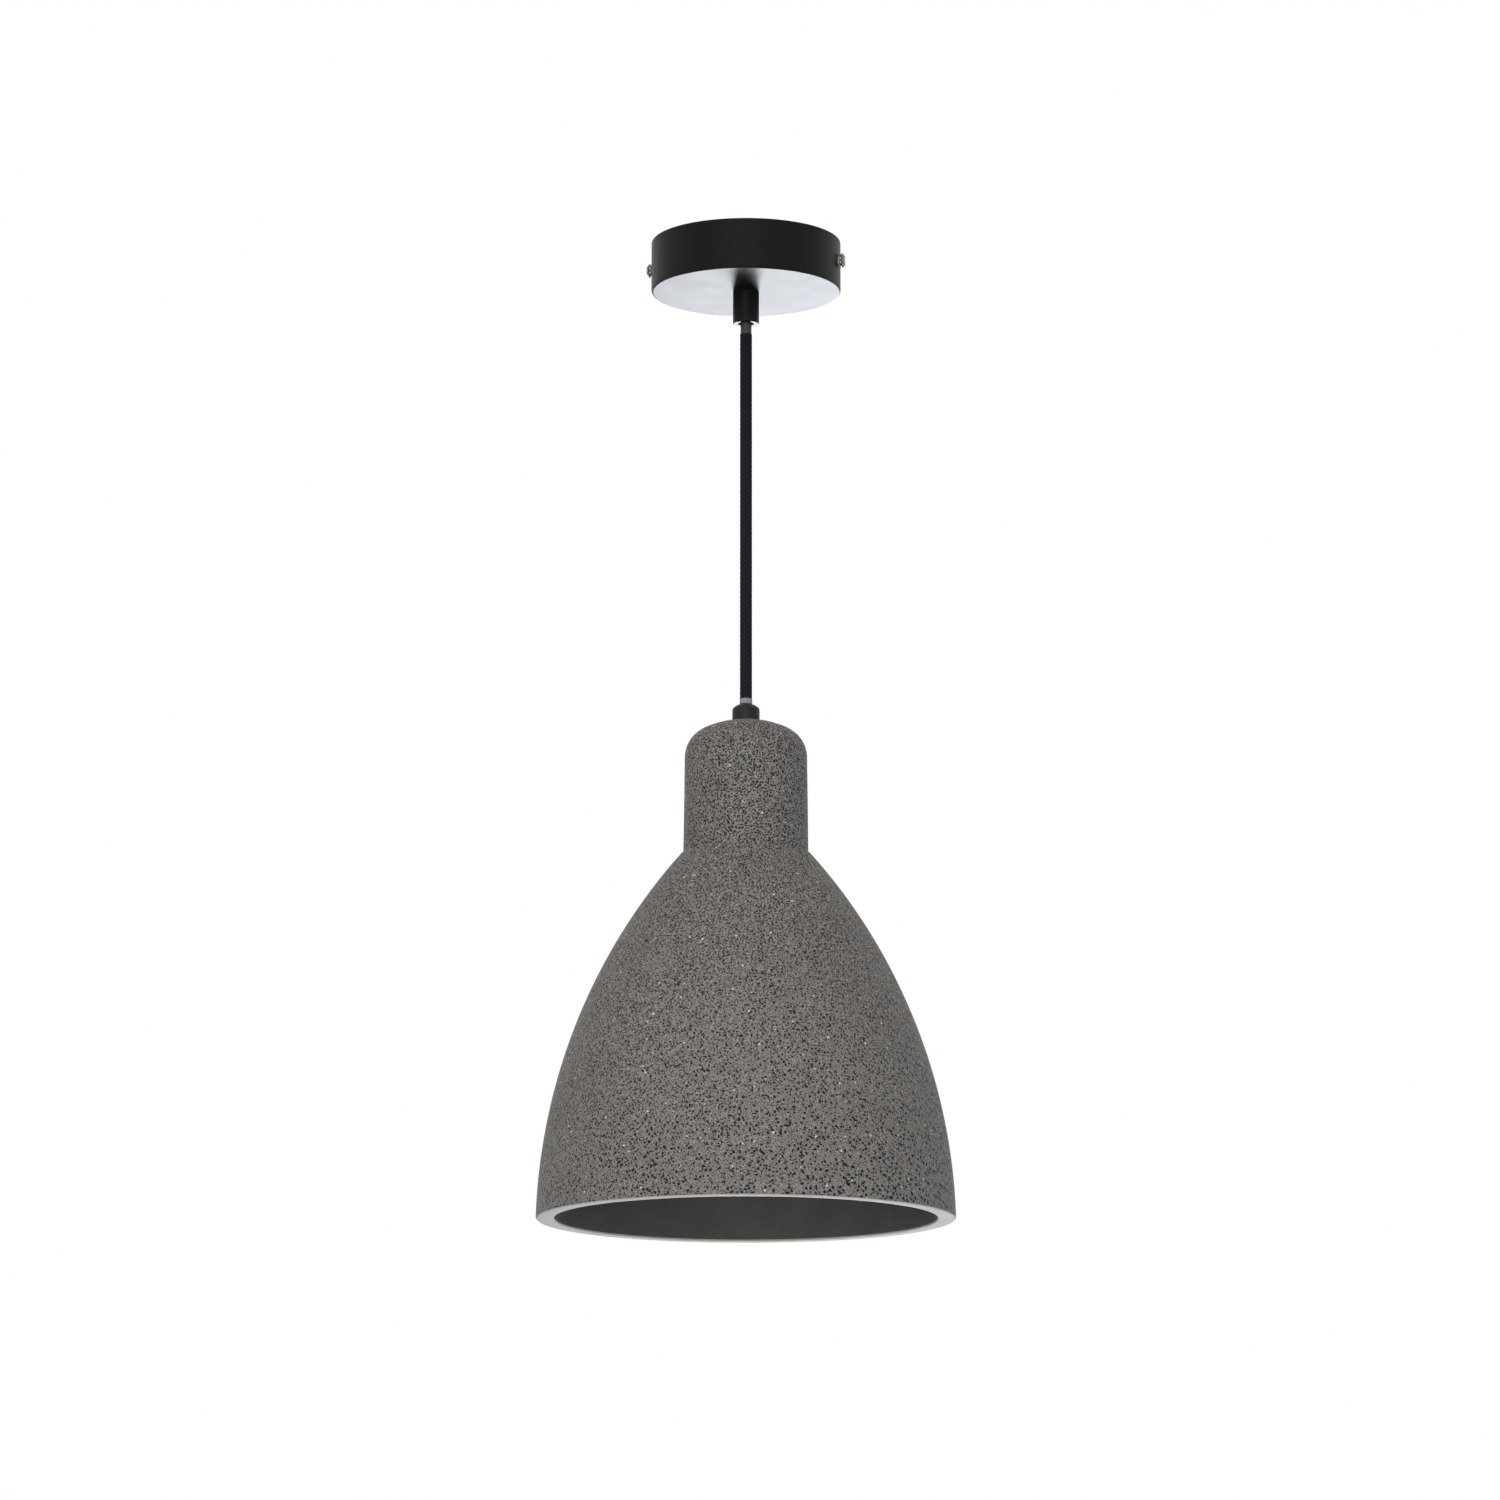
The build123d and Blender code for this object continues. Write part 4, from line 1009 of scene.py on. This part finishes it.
        collar = turned("woven_end_collar", outline, self.collar_segments, True, weave)
        collar.data.set_sharp_from_angle(angle=radians(self.collar_sharp_angle))
        return seat(collar, Body.CORD, "cord_end_collar", GREY_WEAVE)

    def _sheath(self, node: str, body: Body) -> bpy.types.Object:
        """Makes a bare length of the inner sheath, with a ball end in its grip.

        Args:
            node: The node that it stands for.
            body: The body that it moves with.

        Returns:
            The length of sheath.
        """
        foot, top = heights(node)
        radius = half_width(node)
        ball_above = body is Body.CORD_TOP
        ball_end, cut_end = (top, foot) if ball_above else (foot, top)
        pivot = ball_end - radius if ball_above else ball_end + radius
        outline = Outline()
        outline.go((0.0, ball_end))
        outline.turn((0.0, pivot), (radius, pivot), self.sheath_rings)
        outline.go((radius, cut_end), self.sheath_rings)
        outline.go((0.0, cut_end))
        sheath = turned("bare_" + node, outline, self.sheath_segments, False)
        sheath.data.set_sharp_from_angle(angle=radians(self.sheath_sharp_angle))
        return seat(sheath, body, node, DARK_SHEATH)


# Shade


@dataclass
class ConcreteShade:
    """The cast bell with its domed neck and thick ground rim, and what clamps it to the cord's grip.

    Attributes:
        bell_arc: Radius of the arc from the crease to the rim.
        neck_dome: Radius of the neck's domed top.
        neck_round: Radius of the shoulder between dome and neck.
        recess_depth: Depth of the grip's seat below the dome's crown.
        recess_aim: Where the recess's edge is rounded towards, as a multiple of the recess's radius.
        recess_end: Where the dome's arc goes on past that edge, likewise.
        room: How far short of a rounded corner a line stops, in the rounding's radii.
        ring_step: Length of one step along the bell.
        swell: How far the casting strays from round, inwards only.
        swell_width: Width of one such swelling.
    """

    rim_radius: float = 108.1
    crease_radius: float = 34.0
    bell_height: float = 190.1
    bell_arc: float = 301.3
    wall: float = 9.5
    rim_edge: float = 1.2
    rim_inner_edge: float = 0.8
    neck_foot_radius: float = 32.6
    neck_head_radius: float = 31.9
    neck_dome: float = 53.5
    neck_round: float = 16.3
    crease_round: float = 1.0
    neck_wall: float = 9.0
    hole_radius: float = 5.3
    recess_radius: float = 8.0
    recess_depth: float = 3.1
    recess_edge: float = 0.6
    recess_aim: float = 2.0
    recess_end: float = 4 / 3
    room: float = 2.0
    segments: int = 288
    ring_step: float = 1.8
    recess_rings: int = 3
    dome_rings: int = 10
    shoulder_rings: int = 18
    neck_rings: int = 28
    rim_rings: int = 6
    rim_edge_rings: int = 8
    small_edge_rings: int = 4
    bore_rings: int = 10
    ceiling_rings: int = 8
    hole_rings: int = 2
    sharp_angle: float = 35.0
    swell: float = 0.2
    swell_width: float = 38.0

    def build(self) -> bpy.types.Object:
        """Makes the bell and dresses its clamping pieces.

        Returns:
            The bell.
        """
        bell = turned("concrete_bell", self._outline(), self.segments, True, self._uneven)
        bell.data.set_sharp_from_angle(angle=radians(self.sharp_angle))
        seat(bell, Body.SHADE, "shade", CONCRETE, BARE_CEMENT, MOULD_FACE)
        dress("shade_gasket", "threaded_nipple")
        dress("shade_fibre_washer", "shade_steel_washer", "shade_lock_nut")
        return bell

    def _outline(self) -> Outline:
        """The bell's half section, from the grip's seat down the outside and up the inside.

        Returns:
            The outline, with a surface for each stretch.
        """
        rim = heights("shade")[0]
        seat_height = heights("shade_gasket")[0]
        ceiling = heights("shade_fibre_washer")[1]
        crease = rim + self.bell_height
        centre = self._bell_centre(rim, crease)
        inner_arc = self.bell_arc - self.wall
        bore = self.neck_head_radius - self.neck_wall
        inner_rim = self._on_arc(centre, inner_arc, rim)
        inner_crease = centre[1] + sqrt(inner_arc**2 - (bore - centre[0]) ** 2)
        steps = ceil(self.bell_height / self.ring_step)
        outside, inside = Surface.OUTSIDE, Surface.INSIDE
        shape = Outline()
        shape.go((self.hole_radius, seat_height), surface=inside)
        shape.go((self.recess_radius, seat_height), self.recess_rings, inside)
        self._neck(shape, seat_height + self.recess_depth, crease)
        shape.go((self.crease_radius, crease), surface=outside)
        above_rim = rim + self.room * self.rim_edge
        shape.turn(centre, (self._on_arc(centre, self.bell_arc, above_rim), above_rim), steps, outside)
        shape.round((self.rim_radius, rim), (inner_rim, rim), self.rim_edge, self.rim_edge_rings, outside)
        ground = self.rim_edge_rings // 2
        shape.surfaces[-ground:] = [Surface.RIM] * ground
        inner_side = (self._on_arc(centre, inner_arc, above_rim), above_rim)
        shape.go((inner_rim + self.room * self.rim_inner_edge, rim), self.rim_rings, Surface.RIM)
        shape.round((inner_rim, rim), inner_side, self.rim_inner_edge, self.small_edge_rings, Surface.RIM)
        shape.go(inner_side, surface=inside)
        shape.turn(centre, (bore, inner_crease), steps // 2, inside)
        shape.go((bore, ceiling), self.bore_rings, inside)
        shape.go((self.hole_radius, ceiling), self.ceiling_rings, inside)
        shape.go((self.hole_radius, (ceiling + seat_height) / 2), self.hole_rings, inside)
        return shape

    def _neck(self, shape: Outline, crown: float, crease: float) -> None:
        """Runs from the recess over the dome and shoulder and down the neck to the crease.

        Args:
            shape: The outline, which has reached the recess's wall.
            crown: Height of the dome's crown.
            crease: Height of the crease.
        """
        outside = Surface.OUTSIDE
        dome = Vector((0.0, crown - self.neck_dome))
        head = Vector(self._on_dome(dome, self.neck_head_radius))
        foot = Vector((self.neck_foot_radius, crease))
        down = (foot - head).normalized()
        out = Vector((-down.y, down.x))
        start = head - out * self.neck_round - dome
        fall = start.dot(down)
        reach = self.neck_dome - self.neck_round
        shoulder = dome + start - down * (fall + sqrt(fall**2 - start.length_squared + reach**2))
        dome_end = dome + (shoulder - dome).normalized() * self.neck_dome
        neck_end = foot - down * self.room * self.crease_round
        edge = self._on_dome(dome, self.recess_radius)
        aim = self._on_dome(dome, self.recess_aim * self.recess_radius)
        bell = (self.crease_radius, crease)
        shape.round(edge, aim, self.recess_edge, self.small_edge_rings, outside)
        shape.go(self._on_dome(dome, self.recess_end * self.recess_radius), surface=outside)
        shape.turn(tuple(dome), tuple(dome_end), self.dome_rings, outside)
        shape.turn(tuple(shoulder), tuple(shoulder + out * self.neck_round), self.shoulder_rings, outside)
        shape.go(tuple(neck_end), self.neck_rings, outside)
        shape.round(tuple(foot), bell, self.crease_round, self.small_edge_rings, outside)

    def _on_dome(self, dome: Vector, radius: float) -> Point:
        """The dome's point at a distance from the axis."""
        return radius, dome.y + sqrt(self.neck_dome**2 - radius**2)

    def _bell_centre(self, rim: float, crease: float) -> Point:
        """Centre of the bell's outer arc, from its two ends and its radius.

        Args:
            rim: Height of the rim.
            crease: Height of the crease.

        Returns:
            The centre's radius and height.
        """
        chord = Vector((self.crease_radius - self.rim_radius, crease - rim))
        middle = Vector((self.crease_radius + self.rim_radius, crease + rim)) / 2
        reach = sqrt(self.bell_arc**2 - (chord.length / 2) ** 2)
        centre = middle + Vector((-chord.y, chord.x)).normalized() * reach
        return centre.x, centre.y

    @staticmethod
    def _on_arc(centre: Point, radius: float, height: float) -> float:
        """Distance from the axis of an arc's point at a height."""
        return centre[0] + sqrt(radius**2 - (height - centre[1]) ** 2)

    def _uneven(self, place: Vector) -> float:
        """How far the casting is drawn in where it is not quite round.

        Args:
            place: A vertex of the round bell.

        Returns:
            How far the vertex is pressed in.
        """
        if place.xy.length < self.neck_head_radius - self.neck_wall:
            return 0.0
        return self.swell * (1 + noise.noise(place / self.swell_width)) / 2


# Lampholder and lamp


@dataclass
class Lampholder:
    """The screw lampholder under the shade's ceiling."""

    nodes: tuple[str, ...] = (
        "lampholder_cap", "lampholder_set_screw", "lampholder_body", "contact_carrier",
        "holder_thread_shell", "centre_contact", "holder_terminals", "holder_terminal_screws",
    )

    def build(self) -> None:
        """Dresses the holder's pieces."""
        dress(*self.nodes)


@dataclass
class FilamentLamp:
    """The clear lamp with its stick filaments."""

    nodes: tuple[str, ...] = (
        "lamp_glass", "lamp_cap", "lamp_insulator", "lamp_contact",
        "lamp_stem", "lamp_filaments", "lamp_leads",
    )

    def build(self) -> None:
        """Dresses the lamp's pieces."""
        dress(*self.nodes)


# Studio


@dataclass(frozen=True)
class Softbox:
    """One soft lamp.

    Attributes:
        name: The lamp's name.
        place: Where it stands, in metres.
        size: Its width and height, in metres.
        power: Its power, in watts.
        colour: Its colour, sRGB hex.
    """

    name: str
    place: tuple[float, float, float]
    size: tuple[float, float]
    power: float
    colour: str = WHITE

    def build(self, target: Vector) -> None:
        """Puts the lamp up, facing the object.

        Args:
            target: The point that it faces.
        """
        light = bpy.data.lights.new(self.name, "AREA")
        light.shape = "RECTANGLE"
        light.size, light.size_y = self.size
        light.energy = self.power
        light.color = linear(self.colour)[:3]
        lamp = bpy.data.objects.new(self.name, light)
        lamp.location = self.place
        lamp.rotation_euler = (target - Vector(self.place)).to_track_quat("-Z", "Y").to_euler()
        lamp.visible_camera = False
        bpy.context.scene.collection.objects.link(lamp)


@dataclass
class Studio:
    """The photograph's camera, a white room, a pale floor and soft lamps, in metres and degrees.

    Attributes:
        lens: The camera's focal length, in millimetres.
        sensor: Width of its sensor, in millimetres.
        camera_right: How far the camera stands to the right of the axis, as it looks.
        azimuth: How far it stands round the axis from the front.
        pitch: How far it looks up.
        ambient: How bright the room's walls light the object, where 1 is white.
        shadow_reach: How far from the axis the floor shows painted shade and what light falls on it.
        shadow_glow: The floor's own share of white on the axis, in the painted shade over the shadow.
    """

    lens: float = 149.86
    sensor: float = 36.0
    distance: float = 3.1944
    camera_height: float = -0.8908
    camera_right: float = 0.0021
    azimuth: float = 11.8
    pitch: float = 10.943
    ambient: float = 0.35
    floor_height: float = -3.0
    floor_size: float = 16.0
    floor_colour: str = "#efefec"
    shadow_reach: float = 2.5
    shadow_glow: float = 0.6
    softboxes: tuple[Softbox, ...] = (
        Softbox("front_softbox", (0.35, -3.0, -0.6), (2.0, 2.0), 44.0),
        Softbox("top_softbox", (-0.6, -1.0, 2.1), (1.4, 1.4), 14.0, "#fff4e8"),
        Softbox("low_back_softbox", (-0.25, 2.4, -0.75), (0.9, 1.2), 40.0, "#f4f8ff"),
    )

    def build(self) -> None:
        """Sets up the camera, the world, the floor and the lamps."""
        scene = bpy.context.scene
        scene.view_settings.view_transform = "Standard"
        self._camera(scene)
        self._world(scene)
        self._floor()
        target = (CAD_BOX[0] + CAD_BOX[1]) / 2
        for softbox in self.softboxes:
            softbox.build(target)

    def _camera(self, scene: bpy.types.Scene) -> None:
        """Adds the camera where the photograph was taken from.

        Args:
            scene: The scene.
        """
        data = bpy.data.cameras.new("photo_camera")
        data.lens = self.lens
        data.sensor_width = self.sensor
        camera = bpy.data.objects.new("photo_camera", data)
        turn = radians(self.azimuth)
        right = Vector((cos(turn), sin(turn), 0.0))
        back = Vector((sin(turn), -cos(turn), 0.0))
        beside = back * self.distance + right * self.camera_right
        camera.location = beside + Vector((0, 0, self.camera_height))
        camera.rotation_euler = (pi / 2 + radians(self.pitch), 0.0, turn)
        scene.collection.objects.link(camera)
        scene.camera = camera

    def _world(self, scene: bpy.types.Scene) -> None:
        """Makes the room white to look at and in reflections, and gives its walls a softer light.

        Args:
            scene: The scene.
        """
        world = bpy.data.worlds.new("white_room")
        scene.world = world
        world.use_nodes = True
        tree = world.node_tree
        tree.nodes.clear()
        strengths = {"Value": self._seen(tree), "To Min": self.ambient, "To Max": 1.0}
        strength = add_node(tree, "MapRange", strengths).outputs["Result"]
        room = add_node(tree, "Background", {"Color": linear(WHITE), "Strength": strength})
        add_node(tree, "OutputWorld", {"Surface": room.outputs["Background"]})

    def _floor(self) -> None:
        """Lays the pale floor: painted shade below the light shows the shadow, fading to the room's white.
        """
        half = self.floor_size / 2 / MM
        corners = [Vector((x * half, y * half, 0.0)) for x, y in ((-1, -1), (1, -1), (1, 1), (-1, 1))]
        ground = new_piece("pale_floor", corners, [(0, 1, 2, 3)])
        ground.location.z = self.floor_height
        material = bpy.data.materials.new("painted_white_floor")
        material.use_nodes = True
        tree = material.node_tree
        tree.nodes.clear()
        paint = add_node(tree, "BsdfDiffuse", {"Color": linear(self.floor_colour)})
        glow = add_node(tree, "Emission", {"Color": linear(WHITE), "Strength": 1.0})
        # Painted shade: nearer the axis less of the floor's white glow shows, so it darkens in a pool even
        # where no shadow falls.
        place = add_node(tree, "TexCoord").outputs["Object"]
        away = add_node(tree, "VectorMath", {0: place}, operation="LENGTH").outputs["Value"]
        fade = {"Value": away, "From Max": self.shadow_reach, "To Min": self.shadow_glow, "To Max": 1.0}
        white = add_node(tree, "MapRange", fade).outputs["Result"]
        share = add_node(tree, "Math", {0: self._seen(tree), 1: white}, operation="MULTIPLY").outputs[0]
        both = add_node(tree, "MixShader", {0: share, 1: paint.outputs[0], 2: glow.outputs[0]})
        add_node(tree, "OutputMaterial", {"Surface": both.outputs[0]})
        ground.data.materials.append(material)

    @staticmethod
    def _seen(tree: bpy.types.NodeTree) -> Socket:
        """Adds a socket that is 1 for what is looked at, also in a mirror or through glass.

        Args:
            tree: The nodes of the world or a material.

        Returns:
            The socket.
        """
        path = add_node(tree, "LightPath").outputs
        seen = path["Is Camera Ray"]
        for way in ("Is Glossy Ray", "Is Transmission Ray"):
            seen = add_node(tree, "Math", {0: seen, 1: path[way]}, operation="MAXIMUM").outputs[0]
        return seen


def main() -> None:
    """Builds the light and its studio."""
    logging.basicConfig(level=logging.INFO, format="%(name)s: %(message)s")
    for assembly in (Studio(), CordSuspension(), ConcreteShade(), Canopy(), Lampholder(), FilamentLamp()):
        assembly.build()


if __name__ == "__main__":
    main()
